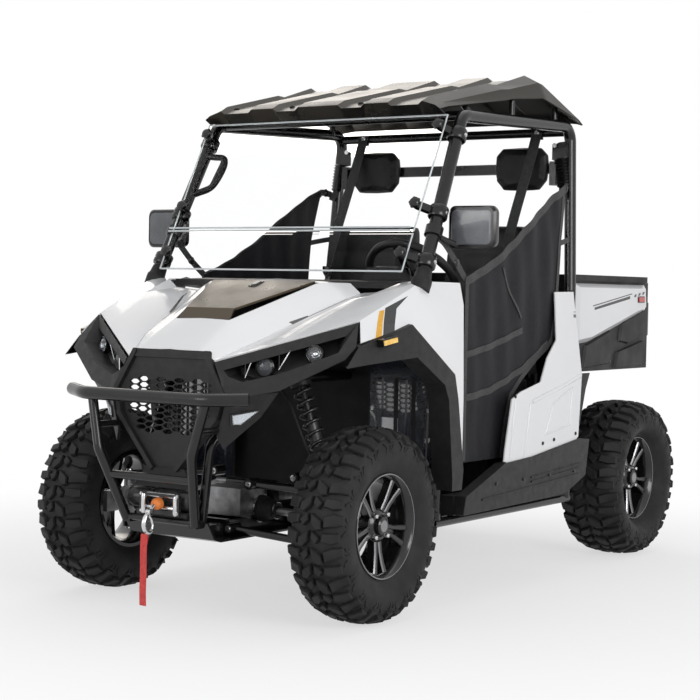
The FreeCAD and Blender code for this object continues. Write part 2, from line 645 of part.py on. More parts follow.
def headlamps():
    lamps = []
    for x, y, z, r, depth in ((446, -1046, 868, 26, 36), (310, -1120, 822, 23, 30)):
        lamp = rod((x - 20, y + 90, z), (x + 8, y - depth, z), r)
        lamps.append(trim(lamp, [fascia()[0]], (x, y - depth, z)))
    marker = bar((612, -944, 903), (626, -892, 914), 44, 20, (0, 0, 1))
    marker = trim(marker, [flare()], (660, -918, 909))
    return both(lamps + [marker])


# Roof, a ribbed skin with raised pads

@cache
def roof():
    columns = [0, 96, 112, 205, 222, 330, 346, 470, 486, 545]
    raised = [1, 1, 0, 0, 1, 1, 0, 0, 1, 1]
    rows = [(-404, 1678, 0, 0, 1676, 0.90), (-436, 1710, 12, -4, 1692, 0.90), (-392, 1727, 16, -8, 1704, 0.91),
            (-40, 1806, 16, -8, 1760, 0.965),
            (10, 1812, 10, -8, 1770, 0.975), (205, 1862, 16, -14, 1790, 1), (240, 1858, 12, -14, 1784, 1),
            (500, 1764, 6, -14, 1738, 1), (534, 1734, 0, -6, 1722, 1)]
    named, faces = {}, []
    for i, (y, z, lift, fall, low, spread) in enumerate(rows):
        for j, (x, up) in enumerate(zip(columns, raised)):
            named["%d.%d" % (i, j)] = (x * spread, y, z + lift * up)
        edge = "%d.%d" % (i, len(columns) - 1)
        named[edge] = (columns[-1] * spread, y, z + fall)
        named["%d.%d" % (i, len(columns))] = (568 * spread, y, low)
    for i in range(len(rows) - 1):
        for j in range(len(columns)):
            a, b = "%d.%d" % (i, j), "%d.%d" % (i, j + 1)
            c, d = "%d.%d" % (i + 1, j + 1), "%d.%d" % (i + 1, j)
            faces += [[a, b, c], [a, c, d]]
    return mirrored_skin(named, faces, SHEET)


# Side panels

@cache
def rear_panel():
    named = {"a": (624, -134, 471), "b": (624, -127, 513), "c": (624, -84, 692), "d": (622, -18, 715),
             "e": (618, 142, 745), "f": (612, 200, 832), "g": (604, 285, 897), "h": (590, 292, 1076),
             "i": (586, 452, 1078), "j": (606, 502, 760), "k": (624, 446, 525), "l": (626, 67, 482),
             "m": (634, 180, 640), "n": (624, 330, 800)}
    faces = ["a b l", "b c m", "b m l", "c d m", "d e m", "e f m", "f n m", "f g n", "g h n", "h i n",
             "i j n", "n j m", "j k m", "k l m"]
    panel = skin(named, [f.split()[::-1] for f in faces], SHEET)
    foot = prism([(-120, 474), (67, 486), (440, 528), (420, 500), (67, 462), (-110, 450)], "x", 620, 624)
    return trim(join([panel, foot]), [rocker()])


@cache
def rocker():
    outline = [(-424, 308), (-407, 372), (-140, 466), (70, 476), (440, 519), (527, 513), (500, 375),
               (351, 323), (229, 315)]
    return prism(outline, "x", 588, 632)


# Cab

def cab_tub():
    floor = block(-536, 536, -452, 440, FLOOR_Z + 4, FLOOR_Z + 10)
    wall = block(-512, 512, -452, -446, FLOOR_Z + 10, 1040)
    sill = both([block(536, 588, -420, 444, FLOOR_Z + 4, 372)])
    riser = block(-512, 512, -60, -54, FLOOR_Z + 10, 600)
    shelf = block(-512, 512, -60, 430, 600, 606)
    back = block(-512, 512, 430, 436, FLOOR_Z + 10, 1075)
    tunnel = block(-56, 56, -452, -54, FLOOR_Z + 4, TUNNEL_TOP)
    tub = join([floor, wall, riser, shelf, back, tunnel] + sill)
    return tub.cut(block(-50, 50, -460, 440, FLOOR_Z, TUNNEL_TOP - 6))


def dashboard():
    profile = [(-632, 1076), (-600, 1098), (-430, 1104), (-352, 1080), (-330, 1020), (-372, 880),
               (-446, 860), (-446, 1062)]
    top = prism(profile, "x", -500, 500)
    hood = prism([(200, 1090), (380, 1090), (350, 1150), (230, 1150)], "y", -440, -372)
    tilt = math.radians(COLUMN_TILT)
    axis = V(0, -math.sin(tilt), -math.cos(tilt))
    column = rod(tuple(WHEEL_HUB + axis * 20), tuple(WHEEL_HUB + axis * 190), 24)
    pivot = rod(tuple(WHEEL_HUB - axis * 30), tuple(WHEEL_HUB + axis * 30), 9)
    body = join([top, hood, column, pivot])
    pedals = [part for x in (250, 370)
              for part in (rod((x, -410, 875), (x, -396, 380), 7), bar((x, -404, 392), (x, -380, 340), 60, 8))]
    return [join([body] + pedals)]


def steering_wheel():
    hub = Part.makeCylinder(32, 52, V(0, 0, -14))
    rim_ring = Part.makeTorus(172, 13, V(0, 0, 6))
    spokes = []
    for a in (90, 210, 330):
        t = math.radians(a)
        spokes.append(bar((20 * math.cos(t), 20 * math.sin(t), 2),
                          (168 * math.cos(t), 168 * math.sin(t), 6), 34, 10))
    body = join([hub, rim_ring] + spokes)
    body = body.cut(Part.makeCylinder(9 + RUN_GAP, 75, V(0, 0, -44)))
    tilt = math.radians(COLUMN_TILT)
    body.Placement = FreeCAD.Placement(WHEEL_HUB, FreeCAD.Rotation(V(0, 0, 1), V(0, math.sin(tilt), math.cos(tilt))))
    return body


def seats():
    cushion = prism([(-52, 606), (-60, 730), (-20, 752), (330, 730), (380, 606)], "x", 66, 490)
    back = prism([(296, 720), (430, 720), (430, 1040), (412, 1330), (360, 1330), (318, 1000)], "x", 76, 480)
    return both([cushion, trim(back, [cushion])])


def headrests():
    outline = [(262, 1470), (418, 1470), (450, 1506), (457, 1560), (452, 1606), (424, 1634), (256, 1634),
               (228, 1606), (223, 1560), (230, 1506)]
    pad = prism(outline, "y", 455, 491)
    return both([pad.makeChamfer(8, [e for e in pad.Edges if e.BoundBox.YMax < 456])])


@cache
def windshield():
    foot = V(0, -642, 1112)
    along, out = screen_axes()
    off = out * 33
    split, t = 150, 5

    def pane(low, high, width, lip_at, lip_side):
        a, b = foot + off + along * low, foot + off + along * high
        corners = [V(-width, 0, 0), V(width, 0, 0)]
        flat = Part.Face(Part.makePolygon([a + corners[0], a + corners[1], b + corners[1], b + corners[0],
                                           a + corners[0]])).extrude(out * t)
        c = foot + off + along * lip_at
        lip = Part.Face(Part.makePolygon([c + corners[0], c + corners[1], c + corners[1] + along * (t * lip_side),
                                          c + corners[0] + along * (t * lip_side),
                                          c + corners[0]])).extrude(out * 26)
        return join([flat, lip])
    return [pane(6, split, PANE_HALF, split, -1), pane(split + 8, 612, PANE_HALF, split + 8, 1)]


def clamps():
    parts = []
    along, out = screen_axes()
    for z in (1606, 1333, 1166):
        middle = pillar_at(z)
        ring_part = rod(tuple(middle - along * 20), tuple(middle + along * 20), 33)
        reach = (V(middle.x, -642, 1112) - middle).dot(out) + 35
        tip = V(PANE_HALF - 14, middle.y, middle.z) + out * reach
        finger = bar(tuple(middle + out * 20), tuple(tip), 26, 30, tuple(along))
        parts.append(trim(join([ring_part, finger]), windshield() + [roll_cage()], tuple(middle)))
    return both(parts)


def pillar_at(z):
    a, b = V(*PILLAR_FOOT), V(*PILLAR_TOP)
    return a + (b - a) * ((z - a.z) / (b.z - a.z))


def screen_axes():
    along = (V(0, -362, 1664) - V(0, -642, 1112)).normalize()
    return along, V(0, -along.z, along.y)


def mirrors():
    head = block(572, 757, -475, -440, 1215, 1360)
    head = head.makeFillet(14, head.Edges)
    arm = rod((562, -545, 1262), (612, -470, 1276), 9)
    return both([trim(join([head, arm]), [roll_cage()])])


def net(side_panel):
    t = 3
    outline = [(-356, 1120), (404, 1478), (500, 1500), (500, 1076), (330, 700), (12, 478), (-340, 478)]
    sheet = prism(outline, "x", side_panel, side_panel + t)
    return trim(sheet, [roll_cage()] + [rear_panel(), rocker()])


def belts():
    boot = block(484, 540, 430, 490, 1470, 1600)
    strap_top = bar((505, 444, 1475), (505, 404, 1100), 34, 3, (0, 1, 0))
    strap_low = bar((505, 404, 1101), (507, 296, 760), 34, 3, (0, 1, 0))
    return both([trim(join([boot, strap_top, strap_low]), [roll_cage()])])


@cache
def engine():
    feet = block(-110, 110, 684, 716, FRAME_BOTTOM + FRAME_TUBE, 312)
    return join([block(-150, 150, 590, 880, 312, 620), block(-110, 110, 620, 840, 620, 676), feet])


def muffler():
    can = rod((-176, 1098, 560), (176, 1098, 560), 58)
    outlet = rod((40, 1098, 560), (40, 1236, 545), 16)
    inlet = rod((-100, 1098, 560), (-100, 870, 520), 18)
    return trim(join([can, outlet, inlet]), [engine()])


# Cargo bed

def cargo_bed():
    y0, y1, w, t = BED_FRONT_Y, BED_REAR_Y, BED_HALF, 4
    floor = block(-w, w, y0, y1, BED_FLOOR_Z, BED_FLOOR_Z + t)
    front = block(-w, w, y0, y0 + t, BED_FLOOR_Z, BED_TOP_Z)
    sides = both([block(w - t, w, y0, y1, BED_FLOOR_Z, BED_TOP_Z)])
    rail = both([block(w - 14, w + 14, y0 - 6, y1 + 6, BED_TOP_Z, BED_TOP_Z + RAIL_H)])
    rail.append(block(-w, w, y0 - 6, y0 + 24, BED_TOP_Z, BED_TOP_Z + RAIL_H))
    arch = both([block(430, w, 830, 1190, BED_FLOOR_Z, BED_FLOOR_Z + 70)])
    corner = both([block(w - 34, w, y1 - 4, y1 + 44, BED_FLOOR_Z, BED_TOP_Z)])
    gate_pins = both([rod((w - 30, GATE_HINGE[0], GATE_HINGE[1]), (470, GATE_HINGE[0], GATE_HINGE[1]), 8)])
    beams = both([block(150, 240, y0, BED_HINGE[0] - 8, BED_FLOOR_Z - 8, BED_FLOOR_Z)])
    y, z = BED_HINGE
    knee = join([block(200, 222, y - 18, y + 18, z, BED_FLOOR_Z), rod((200, y, z), (222, y, z), 18)])
    knees = both([knee.cut(rod((190, y, z), (230, y, z), 10 + RUN_GAP))])
    return join([floor, front] + sides + rail + arch + corner + gate_pins + beams + knees)


def bed_sides():
    w = BED_HALF + 1
    named = {"a": (w, 566, 1112), "b": (w, 1214, 1112), "c": (w, 1222, 1004), "d": (w, 694, 882),
             "e": (w, 566, 872), "f": (w + 18, 590, 1096), "g": (w + 18, 1196, 1096),
             "h": (w + 18, 1204, 1024), "i": (w + 18, 700, 902), "j": (w + 18, 590, 892)}
    faces = ["a f g", "a g b", "b g h", "b h c", "c h i", "c i d", "d i j", "d j e", "e j f", "e f a",
             "f j i", "f i h", "f h g"]
    return both([skin(named, [f.split() for f in faces], 0.9)])


def tail_lamps():
    w = BED_HALF
    return both([block(w - 28, w - 4, BED_REAR_Y + 44, BED_REAR_Y + 54, 900, 1040),
                 block(w + 19, w + 24, 1120, 1180, 1040, 1064)])


def tailgate():
    y, z = GATE_HINGE
    panel = block(-492, 492, y - 12, y + 12, z + 14, BED_TOP_Z + 14)
    knuckles = both([block(472, 490, y - 12, y + 12, z - 12, z + 16).cut(
        rod((460, y, z), (500, y, z), 8 + RUN_GAP))])
    ribs = [block(x - 30, x + 30, y + 12, y + 18, z + 60, BED_TOP_Z - 40) for x in (-300, -100, 100, 300)]
    return join([panel] + knuckles + ribs)


# Steering rack with tie rods

def rack():
    y, z = FRONT_AXLE_Y + RACK_BACK, TYRE_R - 28
    bar_core = rod((-150, y, RACK_Z), (150, y, RACK_Z), 11)
    rods, eyes = [], []
    for s in (-1, 1):
        rods.append(rod((s * 145, y, RACK_Z), (s * (KINGPIN_X - 34), y, z), 8))
        eye = block(s * (KINGPIN_X - 16) - 20, s * (KINGPIN_X - 16) + 20, y - 36, y + 22, z - 6, z + 6)
        slot = block(s * (KINGPIN_X - 16) - 10, s * (KINGPIN_X - 16) + 10, y - 28, y + 14, z - 10, z + 10)
        eyes.append(eye.cut(slot))
    return join([bar_core] + rods + eyes)


def rack_housing():
    y = FRONT_AXLE_Y + RACK_BACK
    tube = rod((-100, y, RACK_Z), (100, y, RACK_Z), 18)
    feet = [block(s * 90 - 14, s * 90 + 14, y - 14, y + 14, FRAME_BOTTOM + FRAME_TUBE, RACK_Z - 10)
            for s in (-1, 1)]
    return join([tube] + feet).cut(rod((-160, y, RACK_Z), (160, y, RACK_Z), 11 + RUN_GAP))


PARTS = {
    "main_frame": main_frame,
    "front_subframe": lambda: [front_subframe(), trim(rack_housing(), main_frame() + [front_subframe()])],
    "rear_subframe": lambda: [rear_subframe()],
    "hitch_plate": lambda: [hitch()],
    "cage_sides": cage_sides,
    "cage_crossbars": lambda: crossbars() + roof_mounts(),
    "roof": lambda: [roof()],
    "hood": lambda: [hood()],
    "front_fenders": fenders,
    "fascia": fascia,
    "grille": grille,
    "headlamps": headlamps,
    "fender_flares": lambda: both([flare()]) + splash_panels(),
    "cab_tub": lambda: [cab_tub(), lid_tray()],
    "rocker_panels": lambda: both([rocker()]),
    "rear_side_panels": lambda: both([rear_panel()]),
    "dashboard": dashboard,
    "seats": seats,
    "headrests": headrests,
    "windshield": windshield,
    "windshield_clamps": clamps,
    "mirrors": mirrors,
    "side_nets": lambda: both([net(574)]),
    "seat_belts": belts,
    "front_bumper": lambda: [bumper()],
    "winch": winch,
    "winch_hook": hook,
    "pull_strap": lambda: [strap()],
    "suspension_arms": lambda: both(front_arms() + rear_arms()),
    "shock_absorbers": lambda: both([shock(*FRONT_SHOCK), shock(*REAR_SHOCK)]),
    "shock_springs": lambda: both([coil(*FRONT_SHOCK), coil(*REAR_SHOCK)]),
    "drive_axles": axles,
    "rear_knuckles": lambda: both([rear_knuckle()]),
    "engine": lambda: [engine()],
    "muffler": lambda: [muffler()],
    "hood_lid": lambda: [hood_lid()],
    "steering_wheel": lambda: [steering_wheel()],
    "steering_rack": lambda: [rack()],
    "knuckle_left": lambda: [knuckle()],
    "knuckle_right": lambda: [mirrored(knuckle())],
    "cargo_bed": lambda: [cargo_bed()],
    "bed_sides": bed_sides,
    "tail_lamps": tail_lamps,
    "tailgate": lambda: [tailgate()],
}


def add_wheels():
    front_tyre = tyre(FRONT_WHEEL_X, FRONT_AXLE_Y, FRONT_TYRE_W, 18)
    rear_tyre = tyre(REAR_WHEEL_X, REAR_AXLE_Y, REAR_TYRE_W, 18)
    front_rim = rim(FRONT_WHEEL_X, FRONT_AXLE_Y, 541)
    rear_rim = rim(REAR_WHEEL_X, REAR_AXLE_Y, 500)
    for end, tread, wheel in (("front", front_tyre, front_rim), ("rear", rear_tyre, rear_rim)):
        PARTS["tyre_%s_left" % end] = lambda s=tread: [s]
        PARTS["tyre_%s_right" % end] = lambda s=tread: [mirrored(s)]
        PARTS["rim_%s_left" % end] = lambda s=wheel: [s]
        PARTS["rim_%s_right" % end] = lambda s=wheel: [mirrored(s)]


os.makedirs("parts", exist_ok=True)
add_wheels()
for node, make in PARTS.items():
    shapes = make()
    shape = shapes[0] if len(shapes) == 1 else Part.makeCompound(shapes)
    shape.exportStep("parts/%s.step" % node)
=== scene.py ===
import json
import math

import bpy
from mathutils import Matrix, Vector


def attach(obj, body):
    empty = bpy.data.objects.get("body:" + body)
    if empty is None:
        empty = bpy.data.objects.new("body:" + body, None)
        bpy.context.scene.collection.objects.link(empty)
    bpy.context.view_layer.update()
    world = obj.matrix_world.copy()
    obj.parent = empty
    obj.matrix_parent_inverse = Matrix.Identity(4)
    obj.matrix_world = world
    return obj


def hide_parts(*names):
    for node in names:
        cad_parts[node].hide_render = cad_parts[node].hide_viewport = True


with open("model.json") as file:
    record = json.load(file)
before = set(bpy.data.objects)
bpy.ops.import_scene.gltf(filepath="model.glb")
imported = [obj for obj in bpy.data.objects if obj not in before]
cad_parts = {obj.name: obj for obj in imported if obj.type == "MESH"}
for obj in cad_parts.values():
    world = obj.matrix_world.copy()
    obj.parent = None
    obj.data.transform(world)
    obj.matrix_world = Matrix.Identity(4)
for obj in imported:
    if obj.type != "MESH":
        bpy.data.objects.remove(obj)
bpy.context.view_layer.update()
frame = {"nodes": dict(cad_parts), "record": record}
nodes = frame["nodes"]
scene = bpy.context.scene

# Lengths are in metres unless mm() or curve_points() takes them in millimetres

TURN = 2 * math.pi
ORIGIN = Vector((0, 0, 0))
X, Y, Z = Vector((1, 0, 0)), Vector((0, 1, 0)), Vector((0, 0, 1))
FRONT, BACK, LEFT, UP = (X, Z, -Y), (-X, Z, Y), (Y, Z, X), (X, Y, Z)
MIRROR = Matrix.Diagonal(Vector((-1, 1, 1, 1)))
SIDES = (("left", Matrix.Identity(4)), ("right", MIRROR))


def mm(*p):
    return Vector(p) / 1000


PILLAR_FOOT, PILLAR_TOP = mm(573, -630, 1102), mm(536, -329, 1677)
PILLAR_LEAN = (PILLAR_TOP - PILLAR_FOOT).normalized()


# Camera, fitted to the photo

CAMERA_AT = Vector((3.565, -5.474, 1.070))
CAMERA_ANGLES = (33.88, 2.03, 1.12)
FOCAL_PIXELS, PHOTO_PIXELS, SENSOR = 1721.1, 700, 36


def make_camera():
    azimuth, elevation, roll = (math.radians(a) for a in CAMERA_ANGLES)
    level = math.cos(elevation)
    back = Vector((math.sin(azimuth) * level, -math.cos(azimuth) * level, math.sin(elevation)))
    right = (-back).cross(Z).normalized()
    up = right.cross(-back)
    right, up = right * math.cos(roll) + up * math.sin(roll), up * math.cos(roll) - right * math.sin(roll)
    data = bpy.data.cameras.new("camera")
    data.sensor_width = SENSOR
    data.lens = FOCAL_PIXELS / PHOTO_PIXELS * SENSOR
    data.shift_x, data.shift_y = -0.007, 0.001
    data.clip_end = 60
    camera = bpy.data.objects.new("camera", data)
    scene.collection.objects.link(camera)
    turn = Matrix((right, up, back)).transposed().to_4x4()
    camera.matrix_world = Matrix.Translation(CAMERA_AT) @ turn
    scene.camera = camera


# Materials

looks = {}


def node(mat, kind, **values):
    made = mat.node_tree.nodes.new(kind)
    for key, value in values.items():
        if hasattr(made, key):
            setattr(made, key, value)
        else:
            made.inputs[key.replace("_", " ")].default_value = value
    return made


def link(mat, a, b):
    mat.node_tree.links.new(a, b)


def principled(mat):
    return mat.node_tree.nodes["Principled BSDF"]


def coordinates(mat, stretch=(1, 1, 1)):
    place = node(mat, "ShaderNodeTexCoord")
    scale = node(mat, "ShaderNodeMapping")
    scale.inputs["Scale"].default_value = stretch
    link(mat, place.outputs["Object"], scale.inputs["Vector"])
    return scale.outputs["Vector"]


def cloudy(mat, scale, detail, stretch=(1, 1, 1)):
    tex = node(mat, "ShaderNodeTexNoise", Scale=scale, Detail=detail)
    link(mat, coordinates(mat, stretch), tex.inputs["Vector"])
    return tex.outputs["Fac"]


def vary(mat, scale, low, high, detail=3):
    """Base colour runs between low and high by noise."""
    ramp = node(mat, "ShaderNodeValToRGB")
    for element, position, color in zip(ramp.color_ramp.elements, (0.3, 0.7), (low, high)):
        element.position = position
        element.color = (*color, 1)
    link(mat, cloudy(mat, scale, detail), ramp.inputs["Fac"])
    link(mat, ramp.outputs["Color"], principled(mat).inputs["Base Color"])


def rough_spread(mat, scale, low, high, stretch=(1, 1, 1)):
    """Roughness runs between low and high by noise."""
    reach = node(mat, "ShaderNodeMapRange", From_Min=0.3, From_Max=0.7, To_Min=low, To_Max=high)
    link(mat, cloudy(mat, scale, 4, stretch), reach.inputs["Value"])
    link(mat, reach.outputs["Result"], principled(mat).inputs["Roughness"])


def bump(mat, scale, depth, kind="noise"):
    """Fine grain: scale in grains per metre, depth in metres; kind can be the way of its bands."""
    if kind == "noise":
        out = cloudy(mat, scale, 2)
    elif kind == "cells":
        tex = node(mat, "ShaderNodeTexVoronoi", Scale=scale)
        link(mat, coordinates(mat), tex.inputs["Vector"])
        out = tex.outputs["Distance"]
    else:
        tex = node(mat, "ShaderNodeTexWave", Scale=scale, Distortion=0.4)
        tex.bands_direction = kind
        link(mat, coordinates(mat), tex.inputs["Vector"])
        out = tex.outputs["Fac"]
    rise = node(mat, "ShaderNodeBump", Distance=depth, Strength=1.0)
    link(mat, out, rise.inputs["Height"])
    normal = principled(mat).inputs["Normal"]
    if normal.links:
        link(mat, normal.links[0].from_socket, rise.inputs["Normal"])
    link(mat, rise.outputs["Normal"], normal)


def shader(name, color, rough=0.5, metal=0.0, tones=None, spread=None, grains=(), **sockets):
    """A Principled material, kept in looks, with noise in its colour, roughness and height."""
    mat = looks[name] = bpy.data.materials.new(name)
    mat.use_nodes = True
    inputs = principled(mat).inputs
    inputs["Base Color"].default_value = (*color, 1)
    inputs["Roughness"].default_value = rough
    inputs["Metallic"].default_value = metal
    for key, value in sockets.items():
        inputs[key.replace("_", " ")].default_value = value
    if tones:
        vary(mat, *tones)
    if spread:
        rough_spread(mat, *spread)
    for grain in grains:
        bump(mat, *grain)
    return mat


def grey(v):
    return (v, v, v * 1.03)


def greys(scale, low, high, *detail):
    """Noise between two greys."""
    return (scale, grey(low), grey(high), *detail)


shader("white_panel", (0.80, 0.80, 0.81), 0.2, tones=(2.5, (0.78, 0.78, 0.79), (0.83, 0.83, 0.84)),
       grains=[(260, 0.00002)], Coat_Weight=0.5, Coat_Roughness=0.04)
shader("textured_black", grey(0.011), 0.45, tones=greys(40, 0.008, 0.015), spread=(30, 0.42, 0.56),
       grains=[(1500, 0.00015, "cells")], Specular_IOR_Level=0.32)
shader("frame_black", grey(0.008), 0.22, tones=greys(25, 0.004, 0.008), spread=(18, 0.18, 0.28),
       grains=[(900, 0.00005)], Specular_IOR_Level=0.4, Coat_Weight=0.1, Coat_Roughness=0.1)
shader("roof_black", grey(0.010), 0.3, tones=greys(5, 0.005, 0.010), spread=(6, 0.26, 0.36),
       grains=[(700, 0.00005)], Specular_Tint=(1.0, 0.84, 0.62, 1), Specular_IOR_Level=0.35)
shader("lid_black", grey(0.014), 0.3, tones=greys(6, 0.006, 0.012), spread=(8, 0.26, 0.4),
       grains=[(900, 0.00006)], Specular_Tint=(1.0, 0.76, 0.48, 1), Specular_IOR_Level=0.9)
shader("tub_black", grey(0.018), 0.55, tones=greys(20, 0.006, 0.012), spread=(16, 0.5, 0.64),
       grains=[(1300, 0.00014, "cells")], Specular_IOR_Level=0.3)
shader("bed_black", grey(0.018), 0.5, tones=greys(12, 0.007, 0.013), spread=(10, 0.42, 0.6),
       grains=[(1100, 0.00014, "cells")], Specular_IOR_Level=0.3)
shader("seat_vinyl", grey(0.02), 0.5, tones=greys(14, 0.007, 0.013), spread=(9, 0.42, 0.56),
       grains=[(700, 0.00018, "cells"), (60, 0.0003)], Specular_IOR_Level=0.3)
shader("clear_screen", (0.992, 0.996, 0.997), 0.01, spread=(3, 0.004, 0.012),
       Transmission_Weight=1.0, IOR=1.035)
shader("lamp_glass", (0.9, 0.93, 0.95), 0.05, spread=(30, 0.03, 0.08),
       Transmission_Weight=0.9, IOR=1.35)
shader("lamp_red", (0.55, 0.012, 0.012), 0.12, tones=(18, (0.45, 0.01, 0.01), (0.62, 0.02, 0.02)),
       grains=[(120, 0.0004, "X")], Coat_Weight=0.6, Coat_Roughness=0.05)
shader("net_black", (0.006, 0.006, 0.008), 0.6,
       tones=(60, (0.004, 0.004, 0.006), (0.009, 0.009, 0.012)),
       grains=[(500, 0.0003)], Specular_IOR_Level=0.25)
shader("belt_webbing", grey(0.03), 0.7, tones=greys(90, 0.020, 0.042),
       grains=[(700, 0.0003, "DIAGONAL")], Sheen_Weight=0.1)
shader("strap_red", (0.72, 0.035, 0.03), 0.7, tones=(70, (0.62, 0.02, 0.02), (0.80, 0.06, 0.05)),
       grains=[(600, 0.0003, "DIAGONAL")], Sheen_Weight=0.3)
shader("winch_metal", grey(0.03), 0.35, 0.4, greys(30, 0.02, 0.05), (20, 0.28, 0.45),
       [(800, 0.00008)])
shader("hook_steel", (0.62, 0.62, 0.63), 0.2, 1.0, (40, (0.5, 0.5, 0.51), (0.7, 0.7, 0.71)),
       (60, 0.14, 0.34))
shader("shock_metal", grey(0.035), 0.35, 0.5, greys(30, 0.025, 0.05), (25, 0.28, 0.45))
shader("spring_black", grey(0.014), 0.28, tones=greys(40, 0.01, 0.02), spread=(30, 0.22, 0.36),
       grains=[(900, 0.00006)], Coat_Weight=0.4)
shader("axle_metal", (0.3, 0.3, 0.31), 0.4, 0.85, (35, (0.22, 0.22, 0.225), (0.40, 0.40, 0.41)),
       (25, 0.3, 0.5), [(700, 0.0003)])
shader("engine_metal", (0.3, 0.3, 0.31), 0.4, 0.9, (20, (0.2, 0.2, 0.21), (0.36, 0.36, 0.37)),
       (15, 0.32, 0.55), [(600, 0.0003)])
shader("muffler_metal", (0.3, 0.29, 0.28), 0.35, 0.95, (8, (0.2, 0.17, 0.15), (0.36, 0.35, 0.34)),
       (50, 0.28, 0.5, (1, 1, 6)))
shader("tyre_rubber", grey(0.02), 0.75, tones=greys(16, 0.008, 0.018, 5), spread=(12, 0.55, 0.75),
       grains=[(420, 0.0004)], Specular_IOR_Level=0.3)
shader("rim_black", grey(0.006), 0.18, tones=greys(20, 0.004, 0.008), spread=(15, 0.15, 0.26),
       grains=[(500, 0.00003)], Specular_IOR_Level=0.4, Coat_Weight=0.3, Coat_Roughness=0.06)

for part in frame["record"]["subparts"]:
    worn = nodes[part["node"]].data.materials
    worn.clear()
    worn.append(looks[part["material_slot"]])


# Softer edges on the carried-over solids

def bevelled(thing, width, angle):
    edge = thing.modifiers.new("bevel", "BEVEL")
    edge.width = width
    edge.segments = 2
    edge.limit_method = "ANGLE"
    edge.angle_limit = math.radians(angle)
    return edge


def soften(thing, width):
    weld = thing.modifiers.new("weld", "WELD")
    weld.merge_threshold = 0.00001
    bevelled(thing, width, 30).harden_normals = True
    thing.modifiers.new("normals", "WEIGHTED_NORMAL")


for width, names in ((0.004, ("hood", "front_fenders", "rear_side_panels", "bed_sides", "roof")),
                     (0.003, ("fender_flares", "fascia", "rocker_panels", "hood_lid"))):
    for name in names:
        soften(nodes[name], width)


# Mesh tools

class Shape:
    """Points and faces that are collected before they become one mesh; kinds are material numbers."""

    def __init__(self):
        self.points, self.faces, self.kinds = [], [], []

    def add(self, points, faces, kind=0):
        start = len(self.points)
        self.points += [tuple(p) for p in points]
        self.faces += [[i + start for i in f] for f in faces]
        self.kinds += [kind] * len(faces)
        return self

    def join(self, other):
        start = len(self.points)
        self.points += other.points
        self.faces += [[i + start for i in f] for f in other.faces]
        self.kinds += other.kinds
        return self

    def moved(self, matrix):
        twin = Shape()
        turned = matrix.determinant() < 0
        twin.points = [tuple(matrix @ Vector(p)) for p in self.points]
        twin.faces = [list(reversed(f)) if turned else list(f) for f in self.faces]
        twin.kinds = list(self.kinds)
        return twin


def paired(shape):
    return Shape().join(shape).join(shape.moved(MIRROR))


def place(name, shape, mats, replaces=(), body="chassis", slot=None, smooth=35, bevel=0):
    """The shape as a piece that rides on its body. The slot argument is not used."""
    mats = mats if isinstance(mats, list) else [mats]
    data = bpy.data.meshes.new(name)
    data.from_pydata(shape.points, [], shape.faces)
    for mat in mats:
        data.materials.append(looks[mat])
    data.polygons.foreach_set("material_index", shape.kinds)
    data.update()
    thing = bpy.data.objects.new(name, data)
    scene.collection.objects.link(thing)
    if bevel:
        bevelled(thing, bevel, 35)
    data.shade_smooth()
    data.set_sharp_from_angle(angle=math.radians(smooth))
    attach(thing, body)
    if replaces:
        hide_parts(*replaces)
    return thing


def basis(axis):
    axis = Vector(axis).normalized()
    side = Z if abs(axis.z) < 0.9 else X
    u = axis.cross(side).normalized()
    return axis, u, axis.cross(u)


def around(u, v, angle):
    """Direction at an angle in the plane of u and v."""
    return u * math.cos(angle) + v * math.sin(angle)


def angles(count):
    return [TURN * k / count for k in range(count)]


def lathe(profile, origin, axis, steps=32, kind=0, closed=False):
    """Profile of (along, radius) points turned about an axis."""
    axis, u, v = basis(axis)
    n = len(profile)
    points = [Vector(origin) + axis * a + around(u, v, t) * r for t in angles(steps) for a, r in profile]
    faces = []
    for k in range(steps):
        here, there = k * n, (k + 1) % steps * n
        for i in range(n if closed else n - 1):
            j = (i + 1) % n
            faces.append([here + i, there + i, there + j, here + j])
    return Shape().add(points, faces, kind)


def plate(outline, low, high, origin, axes, kind=0, inset=0.0):
    """A solid on an outline in u and v, from low to high along w, its top drawn in by inset."""
    u, v, w = axes
    n = len(outline)
    cx, cy = sum(p[0] for p in outline) / n, sum(p[1] for p in outline) / n
    base = Vector(origin)
    points = [base + u * a + v * b + w * low for a, b in outline]
    for a, b in outline:
        d = math.hypot(a - cx, b - cy) or 1
        k = max(0.0, 1 - inset / d)
        points.append(base + u * (cx + (a - cx) * k) + v * (cy + (b - cy) * k) + w * high)
    faces = [list(range(n))[::-1], [n + i for i in range(n)]]
    faces += [[i, (i + 1) % n, n + (i + 1) % n, n + i] for i in range(n)]
    return Shape().add(points, faces, kind)


def rect(x0, y0, x1, y1):
    return [(x0, y0), (x1, y0), (x1, y1), (x0, y1)]


def rounded(w, h, r):
    """Outline of a rectangle of half sizes w and h with round corners."""
    out = []
    for cx, cy, start in ((w - r, h - r, 0), (r - w, h - r, 90), (r - w, r - h, 180), (w - r, r - h, 270)):
        for k in range(6):
            a = math.radians(start + 18 * k)
            out.append((cx + r * math.cos(a), cy + r * math.sin(a)))
    return out


def scaled(outline, share):
    """The outline drawn in or out about its middle."""
    n = len(outline)
    cx, cy = sum(p[0] for p in outline) / n, sum(p[1] for p in outline) / n
    return [(cx + (x - cx) * share, cy + (y - cy) * share) for x, y in outline]


